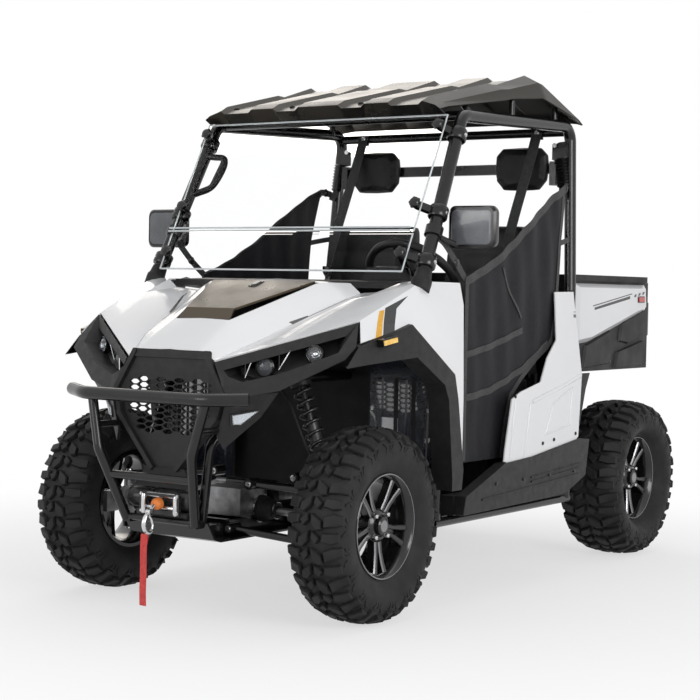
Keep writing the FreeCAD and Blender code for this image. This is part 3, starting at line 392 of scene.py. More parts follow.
def lofted(rings, origin, axes, kinds=None):
    """Rings of (outline, height along w) joined one after another, closed at both ends."""
    u, v, w = axes
    n = len(rings[0][0])
    base = Vector(origin)
    points = [base + u * a + v * b + w * height for outline, height in rings for a, b in outline]
    kinds = kinds or [0] * len(rings)
    faces, marks = [list(range(n))[::-1]], [kinds[0]]
    for k in range(len(rings) - 1):
        for i in range(n):
            j = (i + 1) % n
            faces.append([k * n + i, k * n + j, (k + 1) * n + j, (k + 1) * n + i])
            marks.append(kinds[k])
    faces.append([(len(rings) - 1) * n + i for i in range(n)])
    marks.append(kinds[-1])
    shape = Shape().add(points, faces)
    shape.kinds = marks
    return shape


def tube_of(path, radius, sides=10, kind=0, closed=False, caps=True):
    """A round tube along points, with a steady twist; radius is one number or one for each point."""
    path = [Vector(p) for p in path]
    n = len(path)
    points = []
    normal = None
    for i, p in enumerate(path):
        ahead = path[(i + 1) % n] if closed or i < n - 1 else p
        behind = path[i - 1] if closed or i else p
        t = (ahead - behind).normalized()
        if normal is None:
            normal = basis(t)[1]
        normal = (normal - t * normal.dot(t)).normalized()
        other = t.cross(normal)
        r = radius[i] if isinstance(radius, list) else radius
        points += [p + around(normal, other, a) * r for a in angles(sides)]
    faces = []
    for i in range(n if closed else n - 1):
        for k in range(sides):
            a, b = i * sides + k, i * sides + (k + 1) % sides
            c, d = ((i + 1) % n) * sides + (k + 1) % sides, ((i + 1) % n) * sides + k
            faces.append([a, b, c, d])
    if caps and not closed:
        faces += [list(range(sides))[::-1], [(n - 1) * sides + k for k in range(sides)]]
    return Shape().add(points, faces, kind)


def tangent(path, i):
    return (path[min(i + 1, len(path) - 1)] - path[max(i - 1, 0)]).normalized()


def ribbon_of(path, across, width, thick, kind=0):
    """A flat strap along points; across gives its width direction, one for all or one for each point."""
    path = [Vector(p) for p in path]
    n = len(path)
    points = []
    for i, p in enumerate(path):
        t = tangent(path, i)
        a = across[i] if isinstance(across, list) else across
        a = (a - t * a.dot(t)).normalized()
        up = t.cross(a)
        for s, r in ((-1, -1), (1, -1), (1, 1), (-1, 1)):
            points.append(p + a * s * width / 2 + up * r * thick / 2)
    faces = [[0, 1, 2, 3], [4 * n - 1, 4 * n - 2, 4 * n - 3, 4 * n - 4]]
    for i in range(n - 1):
        for k in range(4):
            a, b = 4 * i + k, 4 * i + (k + 1) % 4
            faces.append([a, 4 + a, 4 + b, b])
    return Shape().add(points, faces, kind)


def twin_grids(rows, columns):
    """Faces of a closed skin: a front grid of points, a back grid after it and the rim between them."""
    wide, count = columns + 1, (rows + 1) * (columns + 1)
    faces = []
    for i in range(rows):
        for j in range(columns):
            a = i * wide + j
            faces.append([a, a + 1, a + wide + 1, a + wide])
            faces.append([count + a, count + a + wide, count + a + wide + 1, count + a + 1])
    rim = list(range(columns)) + [i * wide + columns for i in range(rows)]
    rim += [rows * wide + j for j in range(columns, 0, -1)] + [i * wide for i in range(rows, 0, -1)]
    return faces + [[a, count + a, count + b, b] for a, b in zip(rim, rim[1:] + rim[:1])]


def curve_points(points, steps):
    """A smooth line through points in millimetres."""
    points = [mm(*p) for p in points]
    ends = [points[0] * 2 - points[1]] + points + [points[-1] * 2 - points[-2]]
    out = []
    for i in range(1, len(ends) - 2):
        a, b, c, d = ends[i - 1:i + 3]
        for k in range(steps):
            t = k / steps
            out.append(0.5 * ((2 * b) + (c - a) * t + (2 * a - 5 * b + 4 * c - d) * t * t
                              + (3 * b - a - 3 * c + d) * t ** 3))
    return out + [points[-1]]


def ball(at, r, squeeze=(1, 1, 1), kind=0, steps=20):
    arc = [math.pi * k / 10 for k in range(1, 10)]
    profile = [(-r, 0.0)] + [(-r * math.cos(t), r * math.sin(t)) for t in arc] + [(r, 0.0)]
    stretch = Matrix.Diagonal(Vector((*squeeze, 1)))
    return lathe(profile, ORIGIN, Z, steps, kind).moved(Matrix.Translation(Vector(at)) @ stretch)


def block(low, high, kind=0):
    """A plain bar between two corners in millimetres, for housings and bar stock."""
    return plate(rect(*mm(*low).xy, *mm(*high).xy), low[2] / 1000, high[2] / 1000, ORIGIN, UP, kind)


def bolt(at, axis, r=0.006, high=0.004, kind=0):
    """A bolt head with its washer; the small ones are hexagons."""
    profile = [(0.0, r * 1.35), (high * 0.3, r * 1.3), (high * 0.35, r), (high, r * 0.92), (high, 0.0)]
    return lathe(profile, at, axis, 6 if r < 0.007 else 12, kind)


def plane_of(a, b, c):
    """Origin of the plane through three points, and its axes, the last one along its outward normal."""
    u = (b - a).normalized()
    w = u.cross(c - a).normalized()
    return a, (u, w.cross(u), w)


# Wheels

TYRE_R, CROWN_R = 0.3175, 0.301
AXLES = {"front": (0.532, -0.878, 0.205, 0.541), "rear": (0.507, 1.0575, 0.255, 0.500)}
PITCHES = 18
TREAD_BLOCKS = (
    (1.0, 0.86, ((-0.04, 0.04), (0.055, 0.05), (0.125, 0.24), (0.115, 0.40), (0.03, 0.36))),
    (0.96, 0.84, ((0.135, 0.10), (0.205, 0.06), (0.262, 0.22), (0.20, 0.34))),
    (0.93, 0.88, ((-0.015, 0.44), (0.095, 0.46), (0.075, 0.80), (0.06, 1.02), (-0.045, 1.0), (-0.05, 0.74))),
    (0.93, 0.86, ((0.15, 0.42), (0.235, 0.38), (0.255, 0.70), (0.235, 0.90), (0.145, 0.88))))
SIDEWALL_BARS = ((1.08, 1.36, -0.03, 0.05, 0.028), (0.98, 1.30, 0.165, -0.05, 0.03),
                 (1.10, 1.30, 0.055, 0.02, 0.012))


def carcass_profile(half):
    """(across, radius) from the inner bead round half of the tyre to the crown."""
    rim = 0.074
    return [(rim - 0.004, 0.1602), (rim + 0.001, 0.166), (rim + 0.004, 0.174), (rim + 0.012, 0.184),
            (half * 0.93, 0.202), (half * 0.985, 0.222), (half * 0.995, 0.240), (half * 0.975, 0.258),
            (half * 0.90, 0.276), (half * 0.78, 0.289), (half * 0.58, 0.2965), (half * 0.3, 0.3),
            (0.0, CROWN_R)]


def along_profile(profile, s):
    """Point and outward normal on the profile at distance s from the crown."""
    line = [Vector((w, r)) for w, r in reversed(profile)]
    for a, b in zip(line, line[1:]):
        step = (b - a).length
        if s <= step:
            t = (b - a) / step
            outward = -t.y * a.x + t.x * (a.y - 0.2) > 0
            return a + t * s, Vector((-t.y, t.x)) if outward else Vector((t.y, -t.x))
        s -= step
    return line[-1], Vector((1, 0))


def tread_blocks(reach):
    """Corners (turn, distance from the crown), height and taper of what one pitch repeats."""
    height = TYRE_R - CROWN_R
    blocks = [(outline, height * share, taper) for share, taper, outline in TREAD_BLOCKS]
    for inner, outer, start, sweep, wide in SIDEWALL_BARS:
        middle = (inner + outer) / 2
        bar = [(start, inner), (start + wide, inner), (start + wide + sweep, middle),
               (start + wide + sweep * 0.4, outer), (start + sweep * 0.4, outer), (start + sweep, middle)]
        blocks.append((bar, 0.0042, 0.8))
    return [([(a, reach * s) for a, s in outline], high, taper) for outline, high, taper in blocks]


def tyre_shape(width):
    half = width / 2
    profile = carcass_profile(half)
    both_sides = [(-w, r) for w, r in profile] + [(w, r) for w, r in profile[-2::-1]]
    shape = lathe(both_sides + [(0.0, 0.1585)], ORIGIN, X, 108, closed=True)
    axis, u, v = basis(X)

    def knob(corners, high, taper, side, centre):
        n = len(corners)
        mid_a = sum(c[0] for c in corners) / n
        mid_s = sum(c[1] for c in corners) / n
        points = []
        for level, grow in ((-0.002, 1.06), (high - 0.0035, 1.0), (high, taper)):
            for a, s in corners:
                p, normal = along_profile(profile, max(0.0, mid_s + (s - mid_s) * grow))
                flat = p + normal * level
                turn = centre + mid_a + (a - mid_a) * grow
                points.append(axis * min(flat.x, half) * side + around(u, v, turn) * min(flat.y, TYRE_R))
        faces = [[2 * n + i for i in range(n)]]
        for ring in (0, 1):
            for i in range(n):
                j = (i + 1) % n
                faces.append([ring * n + i, ring * n + j, (ring + 1) * n + j, (ring + 1) * n + i])
        shape.add(points, [f[::-1] for f in faces] if side < 0 else faces)

    pitch = TURN / PITCHES
    for k in range(PITCHES):
        for side in (-1, 1):
            for corners, high, taper in tread_blocks(half * 1.02):
                knob(corners, high, taper, side, pitch * (k + (0.5 if side > 0 else 0)))
    return shape


def spoke_of(face, out, side, s):
    """One of a spoke's two arms, with its machined edges in kind 1."""
    section = ((-1, -0.030), (-1.0, -0.004), (-0.62, 0.0), (0.62, 0.0), (1.0, -0.004), (1, -0.030))
    n = len(section)
    stations = ((0.040, 0.010, 0.0085, -0.002), (0.085, 0.013, 0.0075, 0.001),
                (0.120, 0.0195, 0.0085, 0.005), (0.151, 0.028, 0.0105, 0.010))
    points = []
    for r, off, wide, lift in stations:
        mid = out * r + side * s * off
        top = face + lift - 0.006
        points += [mid + side * q * wide + X * (top + h) for q, h in section]
    shape = Shape()
    for i in range(len(stations) - 1):
        for j in range(n):
            shape.faces.append([i * n + j, i * n + (j + 1) % n, (i + 1) * n + (j + 1) % n, (i + 1) * n + j])
            shape.kinds.append(1 if j in (1, 3) else 0)
    shape.faces += [list(range(n))[::-1], [(len(stations) - 1) * n + j for j in range(n)]]
    shape.kinds += [0, 0]
    shape.points = [tuple(p) for p in points]
    return shape


def rim_shape(e, hub_in, face):
    """Alloy wheel facing +x, e its half width: kind 0 gloss black, 1 machined, 2 nuts."""
    barrel = [(-e, 0.170), (-e, 0.158), (-e + 0.012, 0.151), (-0.03, 0.146), (0.02, 0.146), (e - 0.03, 0.150),
              (e - 0.012, 0.1555), (e - 0.004, 0.163), (e - 0.001, 0.1655), (e, 0.1685), (e - 0.002, 0.1705),
              (e - 0.007, 0.1705), (e - 0.008, 0.160), (0.0, 0.1585), (-e + 0.008, 0.160),
              (-e + 0.007, 0.1705)]
    hub = [(hub_in, 0.0), (hub_in, 0.052), (face - 0.012, 0.056), (face - 0.004, 0.050), (face, 0.044),
           (face, 0.036), (face - 0.004, 0.033), (face - 0.004, 0.0)]
    cap = [(face - 0.004, 0.031), (face + 0.010, 0.029), (face + 0.014, 0.024), (face + 0.014, 0.0)]
    badge = [(face + 0.0142, 0.019), (face + 0.0148, 0.018), (face + 0.0148, 0.0)]
    shape = lathe(barrel, ORIGIN, X, 96, closed=True)
    for profile, steps, kind in (([(e + 0.0004, 0.1652), (e + 0.0012, 0.167), (e + 0.0004, 0.1690)], 96, 1),
                                 (hub, 48, 0), (cap, 40, 0), (badge, 32, 1)):
        shape.join(lathe(profile, ORIGIN, X, steps, kind))
    web = [(0.044, -0.010), (0.100, -0.010), (0.112, 0.0), (0.100, 0.010), (0.044, 0.010)]
    for a in angles(5):
        out, side = around(Y, Z, a - TURN / 4), around(Z, -Y, a - TURN / 4)
        for s in (-1, 1):
            shape.join(spoke_of(face, out, side, s))
        shape.join(plate(web, face - 0.034, face - 0.018, ORIGIN, (out, side, X)))
    for a in angles(4):
        at = X * (face - 0.006) + around(Y, Z, a + TURN / 8) * 0.062 * 0.78
        shape.join(lathe([(0, 0.0088), (0.012, 0.0085), (0.016, 0.006), (0.0175, 0.0)], at, X, 12, 2))
    return shape


def make_wheels():
    shader("rim_machined", (0.26, 0.26, 0.27), 0.25, 1.0, spread=(80, 0.22, 0.36))
    for end, (x, y, width, hub) in AXLES.items():
        tread = tyre_shape(width)
        wheel = rim_shape(0.081, hub - x, 0.059)
        for side, flip in SIDES:
            wheel_name = "%s_%s" % (end, side)
            turn = flip @ Matrix.Translation((x, y, TYRE_R))
            body = "wheel_" + wheel_name
            place("tyre_tread_" + wheel_name, tread.moved(turn), "tyre_rubber", ["tyre_" + wheel_name],
                  body=body, smooth=42)
            place("alloy_" + wheel_name, wheel.moved(turn), ["rim_black", "rim_machined", "hook_steel"],
                  ["rim_" + wheel_name], body=body, smooth=30)


# Stripes, cut to the panels they lie on

def clipped(polygon, outline):
    """Part of a polygon of (point, a, b) inside a convex outline of (a, b)."""
    area = sum(p[0] * q[1] - q[0] * p[1] for p, q in zip(outline, outline[1:] + outline[:1]))
    ring = outline if area > 0 else outline[::-1]
    for p, q in zip(ring, ring[1:] + ring[:1]):
        def side(v):
            return (q[0] - p[0]) * (v[2] - p[1]) - (q[1] - p[1]) * (v[1] - p[0])
        kept = []
        for v, w in zip(polygon, polygon[1:] + polygon[:1]):
            sv, sw = side(v), side(w)
            if sv >= 0:
                kept.append(v)
            if (sv < 0) != (sw < 0):
                t = sv / (sv - sw)
                kept.append((v[0].lerp(w[0], t), v[1] + (w[1] - v[1]) * t, v[2] + (w[2] - v[2]) * t))
        polygon = kept
        if len(polygon) < 3:
            return []
    return polygon


def stripe(name, panel, look, mat, body, outlines):
    """Thin paint over the left panel's faces that look along axis number look, inside outlines in mm."""
    i0, i1 = [k for k in range(3) if k != look]
    shape, thing = Shape(), nodes[panel]
    matrix = thing.matrix_world
    for face in thing.data.polygons:
        normal = (matrix.to_3x3() @ face.normal).normalized()
        corners = [matrix @ thing.data.vertices[i].co for i in face.vertices]
        if normal[look] < 0.25 or sum(c.x for c in corners) < 0:
            continue
        for outline in outlines:
            flat = [(a / 1000, b / 1000) for a, b in outline]
            cut = clipped([(c, c[i0], c[i1]) for c in corners], flat)
            if cut:
                n = len(cut)
                points = [p[0] + normal * height for height in (0.0006, 0.00018) for p in cut]
                faces = [list(range(n)), [n + i for i in range(n)][::-1]]
                faces += [[i, n + i, n + (i + 1) % n, (i + 1) % n] for i in range(n)]
                shape.add(points, faces)
    place(name, paired(shape), mat, body=body, slot="white_panel", smooth=20)


def make_stripes():
    shader("stripe_yellow", (0.75, 0.38, 0.02), 0.3, Coat_Weight=0.3,
           tones=(60, (0.70, 0.35, 0.02), (0.80, 0.42, 0.03)))
    shader("stripe_black", grey(0.015), 0.3, tones=greys(60, 0.012, 0.02), Coat_Weight=0.3)
    bed_marks = [[(y, z), (y + 6, z + 11), (y + 24, z + 13), (y + 18, z + 2)]
                 for y, z in ((1082, 1061), (1122, 1067), (1160, 1072))]
    stripe("cowl_stripe_yellow", "front_fenders", 0, "stripe_yellow", "chassis",
           [[(-866, 1003), (-846, 1007), (-930, 914), (-956, 909)]])
    stripe("cowl_stripe_black", "front_fenders", 0, "stripe_black", "chassis",
           [[(-838, 1013), (-922, 918), (-864, 940), (-800, 1012)],
            [(-728, 1053), (-838, 1013), (-800, 1012)]])
    stripe("hood_stripe", "hood", 2, "stripe_black", "chassis",
           [[(262, -944), (279, -942), (298, -878), (288, -876)]])
    stripe("fender_stripe", "front_fenders", 2, "stripe_black", "chassis",
           [[(286, -880), (299, -880), (370, -700), (366, -700)]])
    stripe("bed_stripe", "bed_sides", 0, "stripe_black", "cargo_bed",
           [[(715, 1008), (715, 1018), (1042, 1066), (1042, 1054)],
            [(700, 1022), (700, 1026), (1060, 1077), (1060, 1073)]] + bed_marks)
    stripe("bed_stripe_yellow", "bed_sides", 0, "stripe_yellow", "cargo_bed",
           [[(1118, 1040), (1124, 1054), (1158, 1058), (1152, 1044)]])
    stripe("rear_cowl_stripe", "rear_side_panels", 0, "stripe_black", "chassis",
           [[(440, 980), (440, 992), (512, 992), (512, 980)],
            [(446, 1000), (446, 1003), (506, 1003), (506, 1000)]])


# Lamps

def reflector(at, axis, r, kinds):
    """A round lamp: ring, bowl, inner globe and clear glass."""
    ring_kind, bowl, globe, glass = kinds
    ring = [(-0.050, r * 0.8), (-0.046, r * 1.02), (-0.004, r * 1.1), (0.002, r * 1.08), (0.004, r * 1.0),
            (0.001, r * 0.93), (-0.010, r * 0.9)]
    dish = [(-0.010, r * 0.9), (-0.020, r * 0.74), (-0.032, r * 0.5), (-0.038, r * 0.25), (-0.038, 0.0)]
    cover = [(0.0, r * 0.93), (0.005, r * 0.7), (0.0085, r * 0.38), (0.0095, 0.0)]
    shape = lathe(ring, at, axis, 40, ring_kind).join(lathe(dish, at, axis, 40, bowl))
    shape.join(ball(at + axis.normalized() * -0.02, r * 0.42, kind=globe))
    return shape.join(lathe(cover, at, axis, 40, glass))


def make_lamps():
    """Kinds: 0 frame black, 1 bowl, 2 gloss black, 3 glass, 4 amber, 5 smoked glass."""
    shader("lamp_gloss", grey(0.012), 0.08, spread=(40, 0.05, 0.12), Coat_Weight=0.6)
    shader("lamp_bowl", (0.75, 0.76, 0.78), 0.12, 1.0, spread=(50, 0.08, 0.2))
    shader("lamp_amber", (0.95, 0.55, 0.08), 0.15, tones=(40, (0.85, 0.42, 0.04), (1.0, 0.68, 0.2)),
           grains=[(160, 0.0005, "X")], Coat_Weight=0.5)
    shader("lamp_smoke", (0.25, 0.26, 0.28), 0.05, spread=(30, 0.03, 0.08), Transmission_Weight=0.7,
           IOR=1.4)
    shape = reflector(mm(303, -1126, 820), Vector((0.30, -0.95, 0.04)), 0.030, (0, 2, 2, 5))
    shape.join(reflector(mm(444, -1052, 864), Vector((0.42, -0.90, 0.04)), 0.027, (0, 1, 1, 3)))
    fin = [(0, 0), (0.030, 0.02), (0.030, 0.045), (0, 0.052)]
    fin_axes = (Vector((-0.5, 0.86, 0)), Z, Vector((0.86, 0.5, 0)))
    for top, foot in (((276, -1158, 840), (262, -1172, 786)), ((378, -1092, 874), (344, -1104, 812))):
        shape.join(tube_of([mm(*top), mm(*foot)], 0.0022, 8, 1))
        shape.join(plate(fin, -0.001, 0.001, mm(*foot), fin_axes, 2))
    a, axes = plane_of(mm(240, -1236, 722), mm(222, -1226, 560), mm(318, -1160, 664))
    rim = [mm(*p) - a for p in ((326, -1160, 692), (242, -1222, 672), (240, -1216, 636), (268, -1196, 636))]
    flat = [(p.dot(axes[0]), p.dot(axes[1])) for p in rim]
    lift = max(p.dot(axes[2]) for p in rim)
    shape.join(plate(flat, -0.012, lift + 0.004, a, axes))
    shape.join(plate(scaled(flat, 0.76), lift + 0.003, lift + 0.0055, a, axes, 1, 0.003))
    shape.join(plate(scaled(flat, 0.8), lift + 0.0057, lift + 0.0075, a, axes, 3, 0.004))
    base, axes = plane_of(mm(612, -944, 903), mm(626, -892, 914), mm(612, -944, 930))
    shape.join(plate(rect(-0.006, -0.011, 0.060, 0.013), 0.0, 0.0285, base, axes, 0, 0.001))
    shape.join(plate(rect(-0.002, -0.007, 0.056, 0.009), 0.0285, 0.033, base, axes, 4, 0.002))
    place("head_lamps", paired(shape),
          ["frame_black", "lamp_bowl", "lamp_gloss", "lamp_glass", "lamp_amber", "lamp_smoke"],
          ["headlamps"], slot="lamp_glass", smooth=30)


# Windshield clamps and their knobs

def clamp_spots():
    """Where each clamp sits on the pillar, where its knob meets the pane, and the pane's own directions."""
    foot = mm(0, -642, 1112)
    along = (mm(0, -362, 1664) - foot).normalized()
    out = Vector((0, -along.z, along.y))
    for z in (1.606, 1.333, 1.166):
        middle = PILLAR_FOOT.lerp(PILLAR_TOP, (z - PILLAR_FOOT.z) / (PILLAR_TOP.z - PILLAR_FOOT.z))
        reach = (Vector((middle.x, foot.y, foot.z)) - middle).dot(out) + 0.038
        yield middle, Vector((0.504, middle.y, middle.z)) + out * reach, along, out


def make_clamps():
    collar = [(-0.021, 0.0235), (-0.021, 0.031), (-0.017, 0.0335), (-0.004, 0.0335), (-0.002, 0.0315),
              (0.002, 0.0315), (0.004, 0.0335), (0.017, 0.0335), (0.021, 0.031), (0.021, 0.0235)]
    knob = [(0.0, 0.010), (0.006, 0.010), (0.007, 0.015), (0.012, 0.0185), (0.022, 0.0185), (0.026, 0.015),
            (0.028, 0.006), (0.028, 0.0)]
    shape = Shape()
    for middle, tip, along, out in clamp_spots():
        shape.join(lathe(collar, middle, PILLAR_LEAN, 40, closed=True))
        arm = tip - middle
        side = arm.cross(along).normalized()
        far = arm.length
        tongue = [(0.026, -0.013), (far, -0.013), (far + 0.012, -0.007), (far + 0.012, 0.007), (far, 0.013),
                  (0.026, 0.013)]
        shape.join(plate(tongue, -0.010, 0.010, middle, (arm.normalized(), along, -side), inset=0.0015))
        shape.join(lathe(knob, tip, out, 28))
        _, u, v = basis(out)
        for t in angles(5):
            shape.join(ball(tip + out * 0.018 + around(u, v, t) * 0.0165, 0.006, steps=12))
        shape.join(bolt(middle + X * 0.033, X, 0.006, 0.004, 1))
    place("screen_clamps", paired(shape), ["frame_black", "hook_steel"], ["windshield_clamps"])


# Springs, gaiters and bolts of the running gear

FRONT_Y, REAR_Y = -0.878, 1.0575
SHOCKS = ((mm(385, -878, 438), mm(255, -878, 790)), (mm(328, 1057.5, 430), mm(250, 1057.5, 716)))


def make_springs():
    shader("ring_gold", (0.62, 0.42, 0.12), 0.25, 1.0, (60, (0.55, 0.36, 0.1), (0.7, 0.5, 0.16)),
           (50, 0.18, 0.34))
    wire, coil, turns, per_turn = 0.0056, 0.0285, 7, 28
    eye_ring = [(-0.016, 0.009), (-0.016, 0.0155), (0.016, 0.0155), (0.016, 0.009)]
    eye_bolt = [(-0.021, 0.0), (-0.021, 0.007), (-0.0165, 0.0085), (0.0165, 0.0085), (0.021, 0.007),
                (0.021, 0.0)]
    wound, damper = Shape(), Shape()
    for foot, head in SHOCKS:
        along = head - foot
        length = along.length
        axis, u, v = basis(along)
        low, high = 0.2 + 0.0055 / length, 0.88 - 0.0055 / length
        count = turns * per_turn
        wound.join(tube_of([foot + along * (low + (high - low) * k / count)
                            + around(u, v, TURN * k / per_turn) * coil for k in range(count + 1)], wire))
        body = [(0.10, 0.017), (0.11, 0.0225), (0.155, 0.0225), (0.156, 0.036), (0.2, 0.037),
                (0.201, 0.0215), (0.55, 0.0215), (0.552, 0.0105), (0.876, 0.0105), (0.88, 0.036),
                (0.918, 0.037), (0.924, 0.016)]
        body = [(0.012, 0.0), (0.012, 0.015)] + [(length * share, r) for share, r in body]
        damper.join(lathe(body + [(length - 0.012, 0.014), (length - 0.012, 0.0)], foot, axis, 36))
        ring = [(length * share, r) for share, r in ((0.205, 0.0225), (0.205, 0.034), (0.235, 0.034),
                                                     (0.235, 0.0225))]
        damper.join(lathe(ring, foot, axis, 36, 1, closed=True))
        for a in angles(12):
            out = around(u, v, a)
            damper.join(plate(rect(-0.003, 0.0, 0.003, 0.0035), 0.0, length * 0.028,
                              foot + along * 0.206 + out * 0.033, (around(v, -u, a), out, axis), 1))
        for eye in (foot, head):
            damper.join(lathe(eye_ring, eye, Y, 28, closed=True))
            damper.join(lathe(eye_bolt, eye, Y, 12, 2))
    place("coil_springs", paired(wound), "spring_black", ["shock_springs"], smooth=60)
    place("shock_bodies", paired(damper), ["shock_metal", "ring_gold", "hook_steel"], ["shock_absorbers"])


def gaiter(at, axis, length, big, small, folds):
    """A rubber bellows that narrows from big to small, with its two clips in kind 2."""
    profile = [(0.0, big * 0.8), (0.0, big), (0.008, big), (0.009, big * 0.93)]
    step = (length - 0.020) / folds
    for k in range(folds):
        r = big + (small - big) * (k + 0.5) / folds
        a = 0.010 + step * (k + 0.5)
        profile += [(a - step * 0.28, r * 0.9), (a, r * 1.04), (a + step * 0.28, r * 0.88)]
    profile += [(length - 0.009, small), (length, small), (length, small * 0.6)]
    shape = lathe(profile, at, axis)
    for a, r in ((0.003, big * 1.02), (length - 0.006, small * 1.03)):
        clip = [(a, r * 0.9), (a, r * 1.03), (a + 0.004, r * 1.03), (a + 0.004, r * 0.9)]
        shape.join(lathe(clip, at, axis, 32, 2, closed=True))
    return shape


def make_axle_boots():
    shape = gaiter((0.111, FRONT_Y, 0.3335), (1, 0, -0.04), 0.074, 0.045, 0.0265, 5)
    shape.join(gaiter((0.422, FRONT_Y, 0.3185), (-1, 0, 0.04), 0.062, 0.0405, 0.0265, 4))
    shape.join(gaiter((0.121, REAR_Y, 0.3335), (1, 0, -0.04), 0.074, 0.045, 0.0265, 5))
    place("axle_gaiters", paired(shape), ["tyre_rubber", "tyre_rubber", "hook_steel"], smooth=40)
    joints = Shape()
    for y, lower, upper in ((FRONT_Y, 0.170, 0.125), (REAR_Y, 0.150, 0.100)):
        for x, z, step in ((0.128, 0.285, lower), (0.172, 0.430, upper)):
            for s in (-1, 1):
                for t in (-1, 1):
                    joints.join(bolt((x, y + s * step + t * 0.026, z), (0, t, 0), 0.0085, 0.006, 1))
    for z, way in ((0.2215, -Z), (0.4135, Z)):
        joints.join(bolt((0.470, FRONT_Y, z), way, 0.012, 0.009, 1))
    place("arm_bolts", paired(joints), ["axle_metal", "hook_steel"], smooth=30)


# Winch, rope and hook

WINCH_Y, WINCH_Z = -1.222, 0.384


def make_winch():
    middle = Vector((0, WINCH_Y, WINCH_Z))
    motor = [(-0.176, 0.0), (-0.176, 0.026), (-0.172, 0.0315), (-0.150, 0.0325), (-0.148, 0.0300),
             (-0.144, 0.0300), (-0.142, 0.0325), (-0.070, 0.0325), (-0.066, 0.0300), (-0.064, 0.0300),
             (-0.060, 0.0340), (-0.055, 0.0340), (-0.052, 0.024)]
    gearbox = [(0.050, 0.024), (0.054, 0.034), (0.060, 0.034), (0.064, 0.0310), (0.066, 0.0350),
               (0.098, 0.0350), (0.106, 0.031), (0.112, 0.020), (0.112, 0.0)]
    shape = lathe(motor, middle, X, 40).join(lathe(gearbox, middle, X, 40))
    for k, a in enumerate(angles(6)):
        shape.join(bolt(middle + X * 0.106 + around(Y, Z, a) * 0.024, X, 0.004, 0.005, 1))
        if k % 3 == 0:
            rod = middle + around(Y, Z, a) * 0.031
            shape.join(tube_of([rod - X * 0.140, rod + X * 0.090], 0.003, 8))
    shape.join(block((-110, -1252, 318), (100, -1192, 350)))
    face = -1.268
    upright = [(0.342, 0.0), (0.342, 0.007), (0.350, 0.009), (0.396, 0.009), (0.404, 0.007), (0.404, 0.0)]
    roller = [(-0.052, 0.0), (-0.052, 0.007), (-0.046, 0.009), (0.062, 0.009), (0.068, 0.007), (0.068, 0.0)]
    for x in (-0.058, 0.074):
        shape.join(lathe(upright, (x, face - 0.009, 0), Z, 24, 1))
    for s in (-1, 1):
        shape.join(lathe(roller, (0, face + 0.001, WINCH_Z - 0.002 + s * 0.020), X, 24, 1))
    for low, high in (((-74, -1280, 342), (90, -1268, 356)), ((-74, -1280, 400), (90, -1268, 408)),
                      ((-74, -1280, 354), (-50, -1268, 402)), ((66, -1280, 354), (90, -1268, 402))):
        shape.join(block(low, high))
    for x in (-66, 82):
        for z in (350, 404):
            shape.join(bolt(mm(x, -1280, z), -Y, 0.0045, 0.004, 1))
    place("winch_body", shape, ["winch_metal", "hook_steel"], ["winch"])


def make_rope():
    shader("rope_grey", grey(0.08), 0.6, tones=greys(60, 0.05, 0.12),
           grains=[(500, 0.0006, "DIAGONAL")])
    middle = Vector((0, WINCH_Y, WINCH_Z))
    radius, layer, count, per_turn = 0.003, 0.0275, 288, 18
    rope = tube_of([middle + X * (-0.048 + 0.098 * k / count) + around(Y, Z, TURN * k / per_turn) * layer
                    for k in range(count + 1)], radius, 8)
    rope.join(tube_of(curve_points([(6, -1249, 388), (8, -1262, 381), (10, -1284, 379)], 4), radius, 8))
    place("winch_rope", rope, "rope_grey", slot="winch_metal", smooth=60)


def make_hook():
    shader("stopper_orange", (0.8, 0.2, 0.03), 0.5, grains=[(400, 0.0002)],
           tones=(30, (0.7, 0.16, 0.02), (0.88, 0.26, 0.05)))
    stopper = [(-0.012, 0.0), (-0.012, 0.016), (-0.008, 0.0195), (0.006, 0.0195), (0.014, 0.016),
               (0.019, 0.010), (0.019, 0.0)]
    hook = lathe(stopper, mm(10, -1289, 377.5), (0, -1, -0.14), 28, 1)
    hook.join(tube_of(curve_points([(10, -1304, 374), (10, -1318, 364), (10, -1330, 352)], 5), 0.0066, 12))
    line = curve_points([(10, -1328, 354), (10, -1345, 340), (10, -1353, 318), (10, -1347, 298),
                         (10, -1330, 289), (10, -1315, 296), (10, -1310, 312)], 7)
    n = len(line)
    sizes = [0.0058 + 0.0026 * math.sin(math.pi * min(1, i / (n * 0.62)))
             - 0.0032 * max(0, (i / n - 0.7) / 0.3) for i in range(n)]
    hook.join(tube_of(line, sizes, 14))
    pivot = [(-0.009, 0.0), (-0.009, 0.011), (0.009, 0.011), (0.009, 0.0)]
    hook.join(lathe(pivot, mm(10, -1327, 354), X, 24))
    gate = [mm(10, -1332, 347), mm(10, -1317, 330), mm(10, -1310.5, 312)]
    hook.join(ribbon_of(gate, X, 0.009, 0.0022))
    place("winch_hook_steel", hook, ["hook_steel", "stopper_orange"], ["winch_hook"], smooth=40)

    down = curve_points([(10, -1351.5, 285), (11, -1355, 235), (9, -1352, 170), (11, -1356, 110),
                         (10, -1353, 60)], 8)
    loop = curve_points([(10, -1351.5, 287), (10, -1346, 279), (10, -1347.5, 268), (10, -1350.5, 255)], 6)
    web = place("pull_strap_web", ribbon_of(down, X, 0.026, 0.0022), "strap_red", ["pull_strap"], smooth=40)
    turn = place("pull_strap_loop", ribbon_of(loop, X, 0.025, 0.0018), "strap_red", smooth=40)


# Nets, with their edges as (place, value) pairs in millimetres

